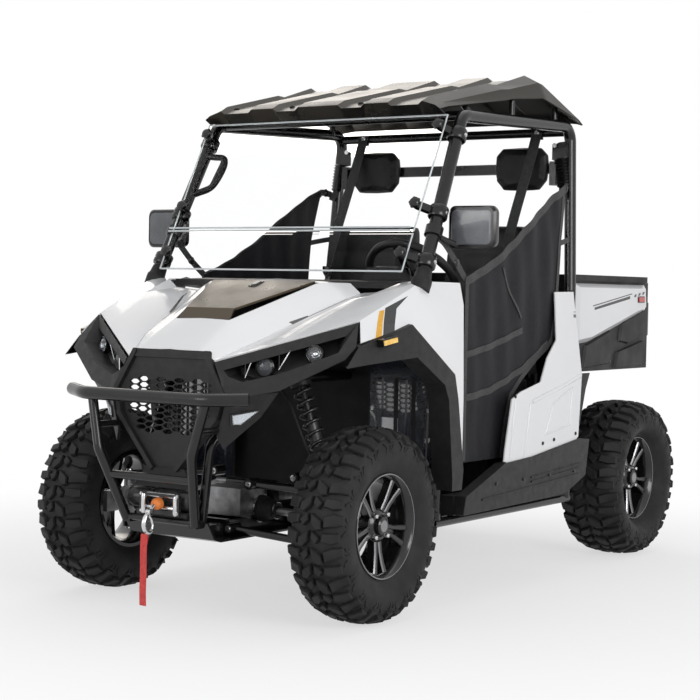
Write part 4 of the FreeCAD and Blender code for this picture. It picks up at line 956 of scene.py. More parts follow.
NET_REAR = [(480, -70), (600, -48), (700, -10), (760, 66), (830, 180), (870, 268), (900, 300), (1000, 328),
            (1272, 352), (1476, 402)]
NET_TOP = [(-352, 1114), (-250, 1146), (-149, 1184), (-6, 1256), (142, 1345), (304, 1436), (402, 1476)]
NET_X, NET_FRONT_Y, NET_FOOT_Z, NET_CORNER_Z, NET_HEAD_Z = 577.5, -352, 480, 1118, 1474
WEB_THICK = 0.0018


def value_at(pairs, at):
    """Value at a place on the straight lines through (place, value) pairs."""
    for (a, u), (b, v) in zip(pairs, pairs[1:]):
        if at <= b:
            t = max(0.0, (at - a) / (b - a))
            return u + (v - u) * t
    return pairs[-1][1]


def net_x(y, z):
    """How far out the net lies at (y, z): soft folds that die out at its edges."""
    short_fold = math.sin((y * 0.9 + z * 0.10) / 17.0) * 2.6
    long_fold = math.sin((y - z * 0.35) / 31.0) * 2.2
    lean = max(0.0, (z - 1150) / 330) ** 2 * 14
    edge = min(1.0, (y - NET_FRONT_Y) / 60, max(0.05, (value_at(NET_REAR, z) - y) / 60))
    return (NET_X - lean + (short_fold + long_fold) * max(0.0, edge)) / 1000


def net_sheet():
    rows, columns, half = 96, 44, 0.0011
    top_line = [(z, y) for y, z in NET_TOP]
    front, back = [], []
    for i in range(rows + 1):
        z = NET_FOOT_Z + (NET_HEAD_Z - NET_FOOT_Z) * i / rows
        lead = NET_FRONT_Y if z < NET_CORNER_Z else value_at(top_line, z)
        end = value_at(NET_REAR, z)
        for j in range(columns + 1):
            y = lead + (end - lead) * j / columns
            x = net_x(y, z)
            front.append((x + half, y / 1000, z / 1000))
            back.append((x - half, y / 1000, z / 1000))
    return Shape().add(front + back, twin_grids(rows, columns))


def across_side(path):
    """Width directions for a strap that lies flat against the vehicle's side."""
    return [tangent(path, i).cross(X).normalized() for i in range(len(path))]


def spread(points, steps):
    """Points set evenly along straight lines."""
    out = []
    for (y0, z0), (y1, z1) in zip(points, points[1:]):
        out += [(y0 + (y1 - y0) * k / steps, z0 + (z1 - z0) * k / steps) for k in range(steps)]
    return out + [points[-1]]


def make_nets():
    bands, hardware = Shape(), Shape()
    for line, width, lift in (
            ([(y, z - 9) for y, z in spread(NET_TOP, 10)], 0.030, 0.0022),
            (spread([(-344, 486), (-344, 1112)], 40), 0.022, 0.0022),
            (spread([(y - 7, z) for z, y in NET_REAR], 8), 0.020, 0.0022),
            (spread([(-340, 704), (-180, 722), (-50, 757), (60, 790), (180, 846), (262, 884)], 8), 0.024,
             0.0030),
            (spread([(-344, 852), (-150, 884), (60, 935)], 14), 0.022, 0.0030),
            (spread([(-97, 1158), (-35, 1073), (45, 979)], 8), 0.010, 0.0030)):
        path = [Vector((net_x(y, z) + lift, y / 1000, z / 1000)) for y, z in line]
        bands.join(ribbon_of(path, across_side(path), width, WEB_THICK))
    for points, width in (
            (((575, -350, 1116), (580, -420, 1168), (579, -500, 1232), (572, -548, 1258)), 0.026),
            (((565, 396, 1470), (556, 424, 1470), (545, 452, 1462)), 0.026),
            (((577, 296, 874), (574, 370, 866), (566, 452, 868)), 0.020),
            (((577, 325, 1010), (572, 400, 1018), (562, 462, 1030)), 0.020),
            (((577, 348, 1260), (568, 420, 1272), (556, 470, 1280)), 0.020)):
        path = curve_points(points, 5)
        bands.join(ribbon_of(path, across_side(path), width, WEB_THICK))
    for at, size in (((580, -420, 1168), (8, 17, 15)), ((557, 424, 1470), (8, 12, 17)),
                     ((575, 366, 866), (7, 12, 12))):
        hardware.join(ball(mm(*at), 1.0, mm(*size), 0, 12))
    ring = curve_points([(566, 440, 872), (562, 462, 884), (556, 478, 872), (560, 462, 856),
                         (566, 444, 864)], 4)
    hardware.join(tube_of(ring, 0.003, 8, 1))
    shape = net_sheet()
    sheets = [place("net_sheets_" + side, shape.moved(flip), "net_black",
                    ["side_nets"] if side == "left" else (), smooth=60) for side, flip in SIDES]
    place("net_straps", paired(bands), "belt_webbing", slot="net_black", smooth=50)
    place("net_clips", paired(hardware), ["frame_black", "hook_steel"], slot="net_black", smooth=40)


# Belts

def make_belts():
    webs, hard = Shape(), Shape()
    line = curve_points([(404, 474, 1698), (403, 430, 1600), (402, 380, 1500), (400, 300, 1340),
                         (404, 262, 1250), (430, 262, 1130), (470, 264, 1000), (500, 272, 860),
                         (507, 290, 752)], 6)
    turned = Vector((0.35, 1, 0))
    across = [X.lerp(turned, min(1, max(0, (i / len(line) - 0.45) / 0.3))) for i in range(len(line))]
    webs.join(ribbon_of(line, across, 0.044, 0.0022))
    hard.join(block((380, 470, 1664), (428, 478, 1706)))
    hard.join(bolt(mm(404, 469, 1692), -Y, 0.008, 0.005, 1))
    tongue = [(-0.027, -0.012), (0.027, -0.012), (0.027, 0.012), (0.014, 0.030), (-0.014, 0.030),
              (-0.027, 0.012)]
    tongue_axes = (Vector((0.9, 0.1, 0)).normalized(), -Z, -Y)
    hard.join(plate(tongue, -0.003, 0.004, line[int(len(line) * 0.60)], tongue_axes, 1))
    hard.join(block((488, 278, 700), (520, 300, 766)))
    anchor = [(0.470, 1.585), (0.536, 1.575), (0.536, 1.655), (0.500, 1.652), (0.470, 1.640)]
    hard.join(plate(anchor, -0.003, 0.003, (0, 0.476, 0), FRONT))
    pin = [(0.0, 0.0), (0.006, 0.0), (0.006, 0.009), (0.010, 0.009), (0.010, 0.0)]
    hard.join(lathe(pin, mm(484, 473, 1640), -Y, 20, 1))
    profile = [(0.0, 0.0), (0.0, 0.014)]
    for k in range(8):
        profile += [(0.005 + k * 0.0125, 0.0225), (0.0105 + k * 0.0125, 0.0165)]
    boot = lathe(profile + [(0.106, 0.021), (0.112, 0.016), (0.112, 0.0)], ORIGIN, -Z, 20)
    lean = Matrix.Translation(mm(512, 460, 1590)) @ Matrix.Rotation(math.radians(-8), 4, "Y")
    hard.join(boot.moved(lean @ Matrix.Diagonal(Vector((1.25, 0.72, 1, 1)))))
    hard.join(block((470, 452, 1486), (498, 488, 1578)))
    webs.join(ribbon_of([mm(526, 458, 1482), mm(530, 452, 1462), mm(540, 440, 1440)], X, 0.030, 0.002))
    place("belt_webs", paired(webs), "belt_webbing", ["seat_belts"], smooth=45)
    place("belt_fittings", paired(hard), ["frame_black", "hook_steel"], slot="belt_webbing", smooth=32,
          bevel=0.0016)
    shader("buckle_red", (0.6, 0.02, 0.02), 0.3, tones=(80, (0.5, 0.015, 0.015), (0.68, 0.03, 0.03)),
           grains=[(300, 0.0001)])
    stalk = ribbon_of(curve_points([(66, 330, 740), (60, 316, 770), (54, 300, 806)], 4), Y, 0.030, 0.006)
    stalk.join(block((40, 284, 800), (62, 318, 850))).join(block((44, 290, 850), (58, 312, 857), 1))
    place("belt_buckles", paired(stalk), ["frame_black", "buckle_red"], slot="belt_webbing", smooth=30,
          bevel=0.002)


# Mirrors

def make_mirrors():
    # The inset front panel is a real part, but its light grey-blue colour is painted reflection: the sheen of
    # the glossy black shell is put into its colour.
    shader("mirror_shell_painted_reflection", (0.10, 0.105, 0.115), 0.22, spread=(20, 0.18, 0.3), Coat_Weight=0.5,
           tones=(12, (0.08, 0.084, 0.092), (0.13, 0.136, 0.15)))
    shader("mirror_glass", (0.75, 0.77, 0.8), 0.03, 1.0, spread=(30, 0.02, 0.05))
    w, h, r = 0.0915, 0.0715, 0.024
    rings = [(rounded(w * wide, h * high, r * corner), depth) for wide, high, corner, depth in (
        (0.78, 0.76, 0.8, 0.0005), (0.84, 0.82, 0.85, 0.0018), (0.85, 0.83, 0.85, 0.0036),
        (0.93, 0.92, 1, 0.0042), (1, 1, 1, 0.012), (1, 1, 1, 0.026), (0.98, 0.975, 1, 0.0335),
        (0.93, 0.92, 0.9, 0.0345), (0.92, 0.91, 0.9, 0.031))]
    # Kind 1, the front panel, carries the painted reflection colour; the rim behind it is plain frame black.
    shape = lofted(rings, mm(664.5, -475, 1287.5), (X, Z, Y), [1, 1, 0, 0, 0, 0, 0, 0, 2])
    arm = curve_points([(562, -545, 1262), (590, -500, 1240), (610, -462, 1228), (628, -452, 1240)], 5)
    shape.join(tube_of(arm, 0.0095, 12))
    pivot = [(-0.012, 0.0), (-0.012, 0.013), (0.012, 0.013), (0.012, 0.0)]
    shape.join(lathe(pivot, mm(612, -458, 1228), X, 20))
    collar = [(-0.017, 0.0232), (-0.017, 0.0305), (0.017, 0.0305), (0.017, 0.0232)]
    shape.join(lathe(collar, PILLAR_FOOT.lerp(PILLAR_TOP, 0.29), PILLAR_LEAN, 36, closed=True))
    place("mirror_heads", paired(shape), ["frame_black", "mirror_shell_painted_reflection", "mirror_glass"], ["mirrors"])


# Padded seats

CLOTH_FRAMES = 20
PAD_STEPS, PAD_VOXEL, PAD_SWELL = 34, 0.0085, 0.010


def puffed(shape, held, voxel, limit):
    """The shape after a short cloth run under inner pressure; held points keep their place."""
    data = bpy.data.meshes.new("raw_pad")
    data.from_pydata(shape.points, [], shape.faces)
    thing = bpy.data.objects.new("raw_pad", data)
    scene.collection.objects.link(thing)
    fine = thing.modifiers.new("fine", "REMESH")
    fine.mode = "VOXEL"
    fine.voxel_size = voxel
    mesh = bpy.data.meshes.new_from_object(thing.evaluated_get(bpy.context.evaluated_depsgraph_get()))
    thing.modifiers.clear()
    thing.data = mesh
    start = [v.co.copy() for v in mesh.vertices]
    end = start
    group = thing.vertex_groups.new(name="held")
    group.add([i for i, p in enumerate(start) if held(p)], 1.0, "REPLACE")
    cloth = thing.modifiers.new("cloth", "CLOTH")
    for key, value in (("quality", 4), ("mass", 0.25), ("tension_stiffness", 18),
                       ("compression_stiffness", 18), ("shear_stiffness", 8), ("bending_stiffness", 0.6),
                       ("use_pressure", True), ("uniform_pressure_force", 4.0),
                       ("vertex_group_mass", "held")):
        setattr(cloth.settings, key, value)
    cloth.settings.effector_weights.gravity = 0
    cloth.point_cache.frame_start = 1
    cloth.point_cache.frame_end = CLOTH_FRAMES
    for moment in range(1, CLOTH_FRAMES + 1):
        scene.frame_set(moment)
    pushed = thing.evaluated_get(bpy.context.evaluated_depsgraph_get())
    end = [v.co.copy() for v in pushed.data.vertices]
    scene.frame_set(1)
    points = []
    for a, b in zip(start, end):
        step = b - a
        points.append(a + step * min(1.0, limit / step.length) if step.length > 1e-7 else a)
    out = Shape().add(points, [list(p.vertices) for p in mesh.polygons])
    bpy.data.objects.remove(thing)
    return out


def groove_depth(u, v, seams):
    """From 0 to 1: how deep a spot of the seat's face lies in its stitched grooves."""
    return max(max(0.0, 1 - abs((u if axis == "u" else v) - seam) / 0.010) for axis, seam in seams)


def pad_of(width, length, thick, bolster, seams):
    """A cushion in u (across), v (along) and w (out): raised bolsters, stitched grooves, round edges."""
    points = []
    for side in (1, -1):
        for i in range(PAD_STEPS + 1):
            for j in range(PAD_STEPS + 1):
                s, t = j / PAD_STEPS * 2 - 1, i / PAD_STEPS * 2 - 1
                edge = (1 - abs(s) ** 9) * (1 - abs(t) ** 9)
                u = s * width / 2 * (1 - 0.03 * abs(t) ** 6)
                v = t * length / 2
                if side > 0:
                    rise = bolster * max(0.0, (abs(s) - 0.62) / 0.38) ** 0.8 * (1 - abs(s) ** 14)
                    groove = 0.006 * groove_depth(u, v, seams)
                    height = thick / 2 * (0.45 + 0.55 * edge ** 0.35) + rise - groove
                else:
                    height = -thick / 2 * (0.5 + 0.5 * edge ** 0.3)
                points.append(Vector((u, v, height)))
    return Shape().add(points, twin_grids(PAD_STEPS, PAD_STEPS))


def soft_pair(name, soft, matrix, replaces):
    """A soft piece on each side; the left one stands for the CAD node."""
    pieces = [place("%s_%s" % (name, side), soft.moved(flip @ matrix), "seat_vinyl",
                    replaces if side == "left" else (), smooth=80) for side, flip in SIDES]
    return pieces


def make_seats():
    seams = [("u", -0.125), ("u", 0.125), ("v", -0.10), ("v", 0.0), ("v", 0.10)]
    for name, size, bolster, more, at, tilt, replaces in (
            ("seat_cushion", (0.418, 0.430, 0.118), 0.022, [], (278, 158, 676), 2, ["seats"]),
            ("seat_back", (0.400, 0.580, 0.082), 0.020, [("v", 0.19), ("v", -0.19)], (278, 366, 1035), 85,
             ())):
        lines = seams + more
        foot = -size[2] * 0.3

        def held(p):
            return groove_depth(p.x, p.y, lines) > 0.25 and p.z > 0 or p.z < foot

        soft = puffed(pad_of(*size, bolster, lines), held, PAD_VOXEL, PAD_SWELL)
        turn = Matrix.Translation(mm(*at)) @ Matrix.Rotation(math.radians(tilt), 4, "X")
        for thing in soft_pair(name, soft, turn, replaces):
            finer = thing.modifiers.new("finer", "SUBSURF")
            finer.levels = 1
            finer.render_levels = 1
    outline = [(262, 1470), (418, 1470), (450, 1506), (457, 1560), (452, 1606), (424, 1634), (256, 1634),
               (228, 1606), (223, 1560), (230, 1506)]
    rings = [([((x - 340) / 1000 * k, (z - 1552) / 1000 * k) for x, z in outline], depth)
             for k, depth in ((0.80, 0.0), (0.93, 0.003), (0.985, 0.010), (0.985, 0.024), (0.95, 0.033),
                              (0.9, 0.0355))]
    head = puffed(lofted(rings, ORIGIN, (X, Z, Y)), lambda p: p.y > 0.028, 0.005, 0.0035)
    soft_pair("head_pad", head, Matrix.Translation(mm(340, 455, 1552)), ["headrests"])
    frames = Shape()
    for x in (150, 406):
        frames.join(tube_of(curve_points([(x, 60, 612), (x, 300, 612), (x, 400, 640), (x, 424, 800),
                                          (x, 424, 1300)], 6), 0.010))
    place("seat_frames", paired(frames), "frame_black", smooth=50)


# Cab and dashboard

def make_cab():
    tilt = math.radians(48)
    axis = Vector((0, -math.sin(tilt), -math.cos(tilt)))
    hub = mm(290, -235, 1105)
    column = [(0.036, 0.0), (0.036, 0.030), (0.050, 0.033), (0.085, 0.030), (0.180, 0.028), (0.184, 0.0)]
    screen_at, screen_axes = mm(290, -371, 1121), (X, Vector((0, -0.35, 0.94)), Vector((0, 0.94, 0.35)))
    switch_axes = (X, Vector((0, 0.31, -0.95)), Vector((0, 0.95, 0.31)))
    glove_at, glove_axes = mm(-290, -352, 960), (X, Vector((0, -0.29, -0.957)), Vector((0, 0.957, -0.29)))
    shape = lathe(column, hub, axis)
    shape.join(plate(rounded(0.075, 0.032, 0.014), 0.0, 0.010, screen_at, screen_axes, 0, 0.002))
    shape.join(plate(rounded(0.062, 0.024, 0.010), 0.010, 0.0108, screen_at, screen_axes, 2))
    for x in (-150, -100, -50, 0, 50, 100):
        shape.join(plate(rounded(0.016, 0.011, 0.004), 0.0, 0.006, mm(x, -343, 1048), switch_axes, 0, 0.002))
    shape.join(plate(rounded(0.150, 0.052, 0.016), 0.0, 0.007, glove_at, glove_axes, 1, 0.003))
    handle_at = glove_at + glove_axes[1] * -0.028
    shape.join(plate(rounded(0.026, 0.008, 0.004), 0.006, 0.012, handle_at, glove_axes, 0, 0.001))
    place("dash_details", shape, ["frame_black", "tub_black", "lamp_glass"], slot="tub_black")

    ring_r, finger_grips = 0.172, 12
    grip = [0.0148 + 0.0012 * math.cos(finger_grips * a) for a in angles(96)]
    wheel = tube_of([around(X, Y, a) * ring_r + Z * 0.006 for a in angles(96)], grip, 16, closed=True)
    spoke = [(0.020, -0.022), (0.090, -0.014), (0.168, -0.020), (0.168, 0.020), (0.090, 0.014),
             (0.020, 0.022)]
    for degrees in (90, 210, 330):
        t = math.radians(degrees)
        wheel.join(plate(spoke, -0.003, 0.007, ORIGIN, (around(X, Y, t), around(Y, -X, t), Z), 1, 0.002))
    wheel.join(lathe([(-0.013, 0.011), (-0.013, 0.030), (0.020, 0.034), (0.034, 0.031), (0.038, 0.020),
                      (0.038, 0.0)], ORIGIN, Z, 36))
    turn = Matrix.Translation(hub) @ (-axis).to_track_quat("Z", "Y").to_matrix().to_4x4()
    place("wheel_grip", wheel.moved(turn), ["seat_vinyl", "frame_black"], ["steering_wheel"],
          body="steering_wheel", slot="tub_black", smooth=40)
    handle = curve_points([(-541, -394, 1560), (-500, -386, 1556), (-462, -382, 1550), (-452, -394, 1520),
                           (-460, -424, 1468), (-478, -444, 1436), (-520, -454, 1420), (-553, -460, 1410)], 6)
    place("grab_grip", tube_of(handle, 0.0118, 12), "tyre_rubber", slot="frame_black", smooth=60)


# Panels, trim and fasteners

SPLASH_Y = -0.5095
SIDE_X, ROOF_Z = 760, 1960


def surface_point(at, direction):
    """Where a line from at (in millimetres) first meets these panels, or None."""
    start = mm(*at)
    best = None
    for name in ("front_fenders", "rear_side_panels", "rocker_panels", "roof", "fender_flares", "grille"):
        thing = nodes[name]
        inverse = thing.matrix_world.inverted()
        hit, spot, _, _ = thing.ray_cast(inverse @ start, inverse.to_3x3() @ direction)
        if hit:
            world = thing.matrix_world @ spot
            if best is None or (world - start).length < (best - start).length:
                best = world
    return best


def make_trim():
    shader("splash_plastic", (0.014, 0.017, 0.028), 0.12,
           tones=(8, (0.010, 0.013, 0.022), (0.020, 0.024, 0.038)), spread=(14, 0.2, 0.3),
           Specular_IOR_Level=1.0, Coat_Weight=1.0, Coat_IOR=1.9)
    shader("blank_plate", (0.78, 0.78, 0.79), 0.4, tones=(30, (0.75, 0.75, 0.76), (0.81, 0.81, 0.82)))
    shader("vent_black", grey(0.008), 0.6, tones=greys(40, 0.006, 0.011))
    skin = [(0.300, 0.352), (0.552, 0.352), (0.552, 0.784), (0.506, 0.808), (0.506, 0.862), (0.300, 0.844)]
    shape = plate(skin, 0.0, 0.0025, Y * SPLASH_Y, FRONT, 0, 0.001)
    for x in (0.340, 0.436, 0.522):
        rib = rect(x - 0.012, 0.380, x + 0.012, 0.770)
        shape.join(plate(rib, 0.0, 0.010, Y * SPLASH_Y, FRONT, 0, 0.005))
    for x, z in ((0.312, 0.665), (0.430, 0.690), (0.540, 0.665), (0.312, 0.370), (0.540, 0.370)):
        shape.join(bolt((x, SPLASH_Y - 0.0024, z), -Y, 0.0065, 0.004, 1))
    shape.join(plate(rect(0.352, 0.588, 0.416, 0.634), 0.0025, 0.0032, Y * SPLASH_Y, FRONT, 2))
    place("splash_skins", paired(shape), ["splash_plastic", "hook_steel", "blank_plate"],
          slot="textured_black", smooth=30)

    at, axes = plane_of(mm(467, -640, 1068), mm(508, -430, 1100), mm(502, -640, 1098))
    vent = [(0.035, 0.006), (0.150, 0.004), (0.120, 0.030), (0.060, 0.030)]
    shape = plate(vent, -0.001, 0.0035, at, axes, 0, 0.001)
    for k in range(4):
        low, high = 0.052 + k * 0.020, 0.060 + k * 0.018
        slat = [(low, 0.008), (low + 0.006, 0.008), (high + 0.006, 0.026), (high, 0.026)]
        shape.join(plate(slat, 0.0035, 0.0055, at, axes))
    place("cowl_vents", paired(shape), "vent_black", slot="textured_black", smooth=30)

    corner, axes = plane_of(mm(-101, -1026, 1002), mm(101, -1026, 1002), mm(218, -738, 1096))
    at = corner + axes[0] * 0.101 + axes[1] * 0.262
    latch = plate(rounded(0.017, 0.030, 0.008), 0.0, 0.003, at, axes, 0, 0.001)
    latch.join(plate(rounded(0.010, 0.022, 0.005), 0.003, 0.0055, at, axes, 0, 0.001))
    place("lid_latch", latch, "frame_black", body="hood_lid", slot="lid_black", smooth=30)

    bolts = Shape()
    side_bolts = [((SIDE_X, *yz), X, 0.006, 0.0038) for yz in (
        (150, 520), (240, 528), (420, 540), (-60, 700), (-380, 400), (-200, 400), (0, 400), (200, 400),
        (400, 400))]
    roof_bolts = [((*xy, ROOF_Z), Z, 0.009, 0.005) for xy in (
        (150, -380), (420, -360), (150, 480), (440, 470), (440, 60))]
    for start, out, r, high in side_bolts + roof_bolts:
        spot = surface_point(start, -out)
        if spot is not None:
            bolts.join(bolt(spot, out, r, high))
    place("panel_bolts", paired(bolts), "frame_black", smooth=30)


# Cargo bed details

BED_SIDE_X, BED_WALL_X = 530, 526


def make_bed():
    ribs = Shape()
    for x in range(-440, 441, 80):
        ribs.join(plate(rect(-0.010, -0.29, 0.010, 0.30), 0.0, 0.005, mm(x, 880, 769), UP, 0, 0.003))
    panel = rect(-0.022, -0.14, 0.022, 0.14)
    for x in (-400, -240, -80, 80, 240, 400):
        ribs.join(plate(panel, 0.0, 0.006, mm(x, 564, 950), (X, Z, Y), 0, 0.004))
        ribs.join(plate(panel, 0.0, 0.005, mm(x, 560, 950), (-X, Z, -Y), 0, 0.003))
    for y in (660, 790):
        for s in (-1, 1):
            ribs.join(plate(rect(-0.022, -0.13, 0.022, 0.13), 0.0, 0.005, mm(s * BED_WALL_X, y, 950),
                            (Y * s, Z, -X * s), 0, 0.003))
    for y, z in ((600, 840), (740, 810), (900, 800), (1150, 860), (1200, 960)):
        for s in (-1, 1):
            ribs.join(bolt(mm(s * BED_SIDE_X, y, z), X * s, kind=1))
    place("bed_ribs", ribs, ["bed_black", "frame_black"], body="cargo_bed", smooth=30)

    gate = Shape()
    for z in (870, 960, 1050):
        gate.join(plate(rounded(0.470, 0.009, 0.004), 0.0, 0.004, mm(0, 1220, z), (-X, Z, -Y), 0, 0.002))
    gate.join(plate(rounded(0.075, 0.030, 0.010), 0.0, 0.012, mm(0, 1244, 1060), BACK, 1, 0.003))
    pull = curve_points([(-46, 1254, 1066), (-40, 1268, 1060), (40, 1268, 1060), (46, 1254, 1066)], 5)
    gate.join(tube_of(pull, 0.006, 10, 1))
    for x in (-440, -200, 200, 440):
        gate.join(bolt(mm(x, 1244, 820), Y, kind=1))
    place("gate_details", gate, ["bed_black", "frame_black"], body="tailgate", smooth=30)

    shader("reverse_lens", (0.75, 0.76, 0.78), 0.1, spread=(30, 0.08, 0.16), Coat_Weight=0.5)
    at, side = mm(514, 1269, 970), mm(549, 1150, 1052)
    lamps = Shape()
    for outline, low, high, spot, axes, kind, inset in (
            (rounded(0.0155, 0.072, 0.006), -0.010, 0.001, at, BACK, 1, 0.001),
            (rounded(0.0120, 0.040, 0.005), 0.001, 0.006, at + Z * 0.026, BACK, 0, 0.003),
            (rounded(0.0120, 0.022, 0.005), 0.001, 0.005, at - Z * 0.042, BACK, 2, 0.003),
            (rounded(0.032, 0.0135, 0.004), 0.0, 0.003, side, LEFT, 1, 0.001),
            (rounded(0.028, 0.0100, 0.003), 0.003, 0.0062, side, LEFT, 0, 0.002)):
        lamps.join(plate(outline, low, high, spot, axes, kind, inset))
    place("tail_lamp_glasses", paired(lamps), ["lamp_red", "frame_black", "reverse_lens"], ["tail_lamps"],
          body="cargo_bed", smooth=30)


# Below: engine cover, exhaust, hoses

def make_underside():
    shape = Shape()
    for z in range(330, 571, 30):
        shape.join(block((-152, 586, z), (152, 884, z + 8)))
    shape.join(lathe([(0.0, 0.052), (0.012, 0.058), (0.020, 0.058), (0.024, 0.040), (0.024, 0.0)],
                     mm(150, 760, 440), X, 36))
    shape.join(lathe([(0.0, 0.036), (0.014, 0.040), (0.020, 0.034), (0.020, 0.0)], mm(150, 650, 480), X))
    for a in angles(8):
        shape.join(bolt(mm(173, 760, 440) + around(Y, Z, a) * 0.050, X, 0.005, 0.004, 1))
    place("engine_fins", shape, ["engine_metal", "hook_steel"], smooth=30, bevel=0.001)
    half = [(0.146, 0.0585), (0.150, 0.0600), (0.172, 0.0585), (0.178, 0.050), (0.178, 0.0)]
    pipe = lathe([(-a, r) for a, r in reversed(half)] + half, mm(0, 1098, 560), X, 48)
    tail = curve_points([(40, 1140, 556), (40, 1180, 552), (40, 1214, 548), (40, 1236, 545)], 4)
    pipe.join(tube_of(tail, 0.0165, 20, caps=False))
    pipe.join(lathe([(0.0, 0.0165), (0.0, 0.0195), (0.022, 0.0195), (0.022, 0.0160), (0.004, 0.0150)],
                    mm(40, 1218, 547.5), (0, 0.99, -0.13), 28))
    place("muffler_shell", pipe, "muffler_metal", smooth=40)
    hoses = Shape()
    for s in (-1, 1):
        for line in ([(205, -905, 740), (260, -925, 690), (330, -930, 560), (380, -905, 470),
                      (400, -880, 452)],
                     [(160, 1010, 640), (215, 1000, 560), (280, 1010, 480), (330, 1030, 440)]):
            hoses.join(tube_of(curve_points([(s * x, y, z) for x, y, z in line], 6), 0.0045, 8))
    place("brake_hoses", hoses, "tyre_rubber", slot="frame_black", smooth=60)


# Pane edges, pillar boots and the relief of the side panels

PANE_X, PANE_FOOT, PANE_TOP = 520, (-671, 1133.4), (-397, 1674)


def traced(points):
    """Points on the near side's surface along a line of (y, z), in millimetres."""
    out = []
    for a, b in zip(points, points[1:]):
        count = max(2, int(math.dist(a, b) / 14))
        for k in range(count + (b == points[-1])):
            t = k / count
            y, z = (a[i] + (b[i] - a[i]) * t for i in (0, 1))
            out.append(surface_point((SIDE_X, y, z), -X))
    return [point for point in out if point is not None]


def beads(name, mat, lines):
    """Raised beads of (radius, sides, line) along the side panels, sunk half into them."""
    shape = Shape()
    for radius, sides, line in lines:
        shape.join(tube_of(traced(line), radius, sides))
    place(name, paired(shape), mat, smooth=60)


def make_relief():
    # The pane's edges are real, but their pale, mostly opaque colour is painted highlight, standing in for
    # the bright lines where light catches the edges.
    shader("screen_edge", (0.80, 0.84, 0.85), 0.14, spread=(20, 0.1, 0.2), Transmission_Weight=0.35,
           IOR=1.3)
    shape = Shape()
    for foot, head in ((PANE_FOOT, (-606, 1262)), ((-602, 1269), PANE_TOP)):
        for x in (-PANE_X, PANE_X):
            shape.join(tube_of([mm(x, *foot), mm(x, *head)], 0.0030, 6))
    for y, z in (PANE_FOOT, (-628, 1271), (-622, 1282), PANE_TOP):
        shape.join(tube_of([mm(-PANE_X, y, z), mm(PANE_X, y, z)], 0.0034, 6))
    place("screen_edges", shape, "screen_edge", slot="clear_screen", smooth=40)
    boot = [(-0.034, 0.0), (-0.034, 0.033), (-0.006, 0.0345), (0.004, 0.0345), (0.010, 0.030),
            (0.040, 0.0265), (0.043, 0.0232)]
    place("pillar_boots", paired(lathe(boot, PILLAR_FOOT, PILLAR_LEAN, 28)), "tyre_rubber",
          slot="frame_black", smooth=50)
    beads("panel_relief", "white_panel",
          ((0.0042, 8, [(214, 662), (405, 714), (366, 578), (166, 552), (214, 662)]),
           (0.0075, 10, [(62, 676), (260, 716), (482, 757)]),
           (0.0050, 10, [(-60, 690), (-78, 590), (-92, 484)]),
           (0.0050, 10, [(44, 668), (22, 560), (10, 476)])))
    beads("rocker_relief", "textured_black",
          ((0.0040, 8, [(57, 386), (443, 408)]), (0.0040, 8, [(57, 402), (443, 424)]),
           (0.0040, 8, [(-300, 352), (440, 386)])))
    shape = Shape()
    for outline in ([(0.640, 0.778), (0.668, 0.868), (0.888, 0.925), (0.925, 0.846), (0.880, 0.790)],
                    [(0.990, 0.956), (1.212, 1.010), (1.212, 0.912), (1.060, 0.868), (0.975, 0.880)],
                    [(0.935, 0.772), (0.958, 0.838), (1.205, 0.880), (1.205, 0.776)]):
        shape.join(plate(outline, 0.0, 0.010, mm(BED_SIDE_X, 0, 0), LEFT, 0, 0.008))
    place("bed_side_relief", paired(shape), "bed_black", body="cargo_bed", smooth=30)


# Stage and light

def seen_directly(tree):
    """1 for rays from the camera, through glass and off glossy surfaces, otherwise 0."""
    path = tree.nodes.new("ShaderNodeLightPath")
    out = path.outputs["Is Camera Ray"]
    for other in ("Is Transmission Ray", "Is Glossy Ray"):
        most = tree.nodes.new("ShaderNodeMath")
        most.operation = "MAXIMUM"
        tree.links.new(out, most.inputs[0])
        tree.links.new(path.outputs[other], most.inputs[1])
        out = most.outputs[0]
    return out


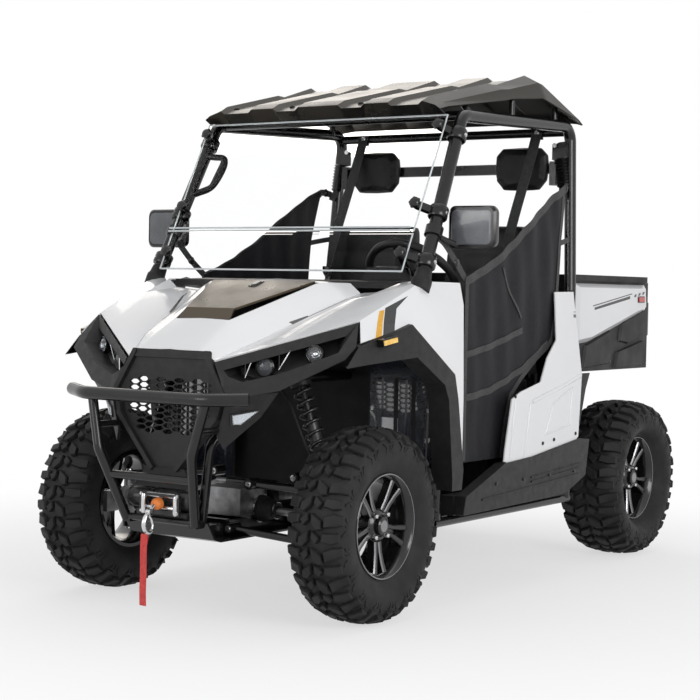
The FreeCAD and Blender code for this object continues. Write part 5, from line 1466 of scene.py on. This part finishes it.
def make_floor():
    """A matt floor that fades to plain white away from the vehicle."""
    data = bpy.data.meshes.new("floor")
    data.from_pydata([(-30, -30, 0), (30, -30, 0), (30, 30, 0), (-30, 30, 0)], [], [(0, 1, 2, 3)])
    floor = bpy.data.objects.new("floor", data)
    floor.location.z = -0.0005
    scene.collection.objects.link(floor)
    mat = shader("floor", (0.9, 0.9, 0.9), 0.9)
    glow = node(mat, "ShaderNodeEmission", Color=(1, 1, 1, 1), Strength=1.0)
    mix = node(mat, "ShaderNodeMixShader")
    far = node(mat, "ShaderNodeVectorMath", operation="LENGTH")
    fade = node(mat, "ShaderNodeMapRange", interpolation_type="SMOOTHSTEP", From_Min=1.1, From_Max=3.2,
                To_Min=0.62, To_Max=1.0)
    share = node(mat, "ShaderNodeMath", operation="MULTIPLY")
    link(mat, coordinates(mat), far.inputs[0])
    link(mat, far.outputs["Value"], fade.inputs["Value"])
    link(mat, seen_directly(mat.node_tree), share.inputs[0])
    link(mat, fade.outputs["Result"], share.inputs[1])
    link(mat, share.outputs[0], mix.inputs[0])
    link(mat, principled(mat).outputs[0], mix.inputs[1])
    link(mat, glow.outputs[0], mix.inputs[2])
    link(mat, mix.outputs[0], mat.node_tree.nodes["Material Output"].inputs[0])
    data.materials.append(mat)


def make_world():
    """Soft light from all round, seen as plain white."""
    world = bpy.data.worlds.new("world")
    scene.world = world
    world.use_nodes = True
    tree = world.node_tree
    soft = tree.nodes["Background"]
    plain = tree.nodes.new("ShaderNodeBackground")
    for background, color, strength in ((soft, (0.95, 0.97, 1, 1), 0.4), (plain, (1, 1, 1, 1), 1.0)):
        background.inputs["Color"].default_value = color
        background.inputs["Strength"].default_value = strength
    mix = tree.nodes.new("ShaderNodeMixShader")
    tree.links.new(seen_directly(tree), mix.inputs[0])
    tree.links.new(soft.outputs[0], mix.inputs[1])
    tree.links.new(plain.outputs[0], mix.inputs[2])
    tree.links.new(mix.outputs[0], tree.nodes["World Output"].inputs[0])


def lamp(name, place, aim, size, power, color=(1, 1, 1)):
    data = bpy.data.lights.new(name, "AREA")
    data.shape = "RECTANGLE"
    data.size, data.size_y = size
    data.energy = power
    data.color = color
    light = bpy.data.objects.new(name, data)
    light.location = place
    light.rotation_mode = "QUATERNION"
    light.rotation_quaternion = (Vector(aim) - Vector(place)).to_track_quat("-Z", "Y")
    scene.collection.objects.link(light)


make_camera()
make_wheels()
make_stripes()
make_lamps()
make_clamps()
make_springs()
make_axle_boots()
make_winch()
make_rope()
make_hook()
make_nets()
make_belts()
make_mirrors()
make_seats()
make_cab()
make_trim()
make_bed()
make_underside()
make_relief()
make_floor()
make_world()
lamp("key", (5.4, -2.6, 2.6), (0, 0, 0.8), (3.0, 2.4), 150)
lamp("front", (-1.6, -6.4, 2.4), (0, -0.5, 0.8), (3, 2), 70)
lamp("top", (0, 0.5, 5.5), (0, 0, 0), (4, 5), 45)
lamp("back", (-3.6, 3.6, 3.4), (0, -0.2, 1.3), (3.5, 3.0), 55, (1.0, 0.92, 0.82))
scene.view_settings.view_transform = "Standard"
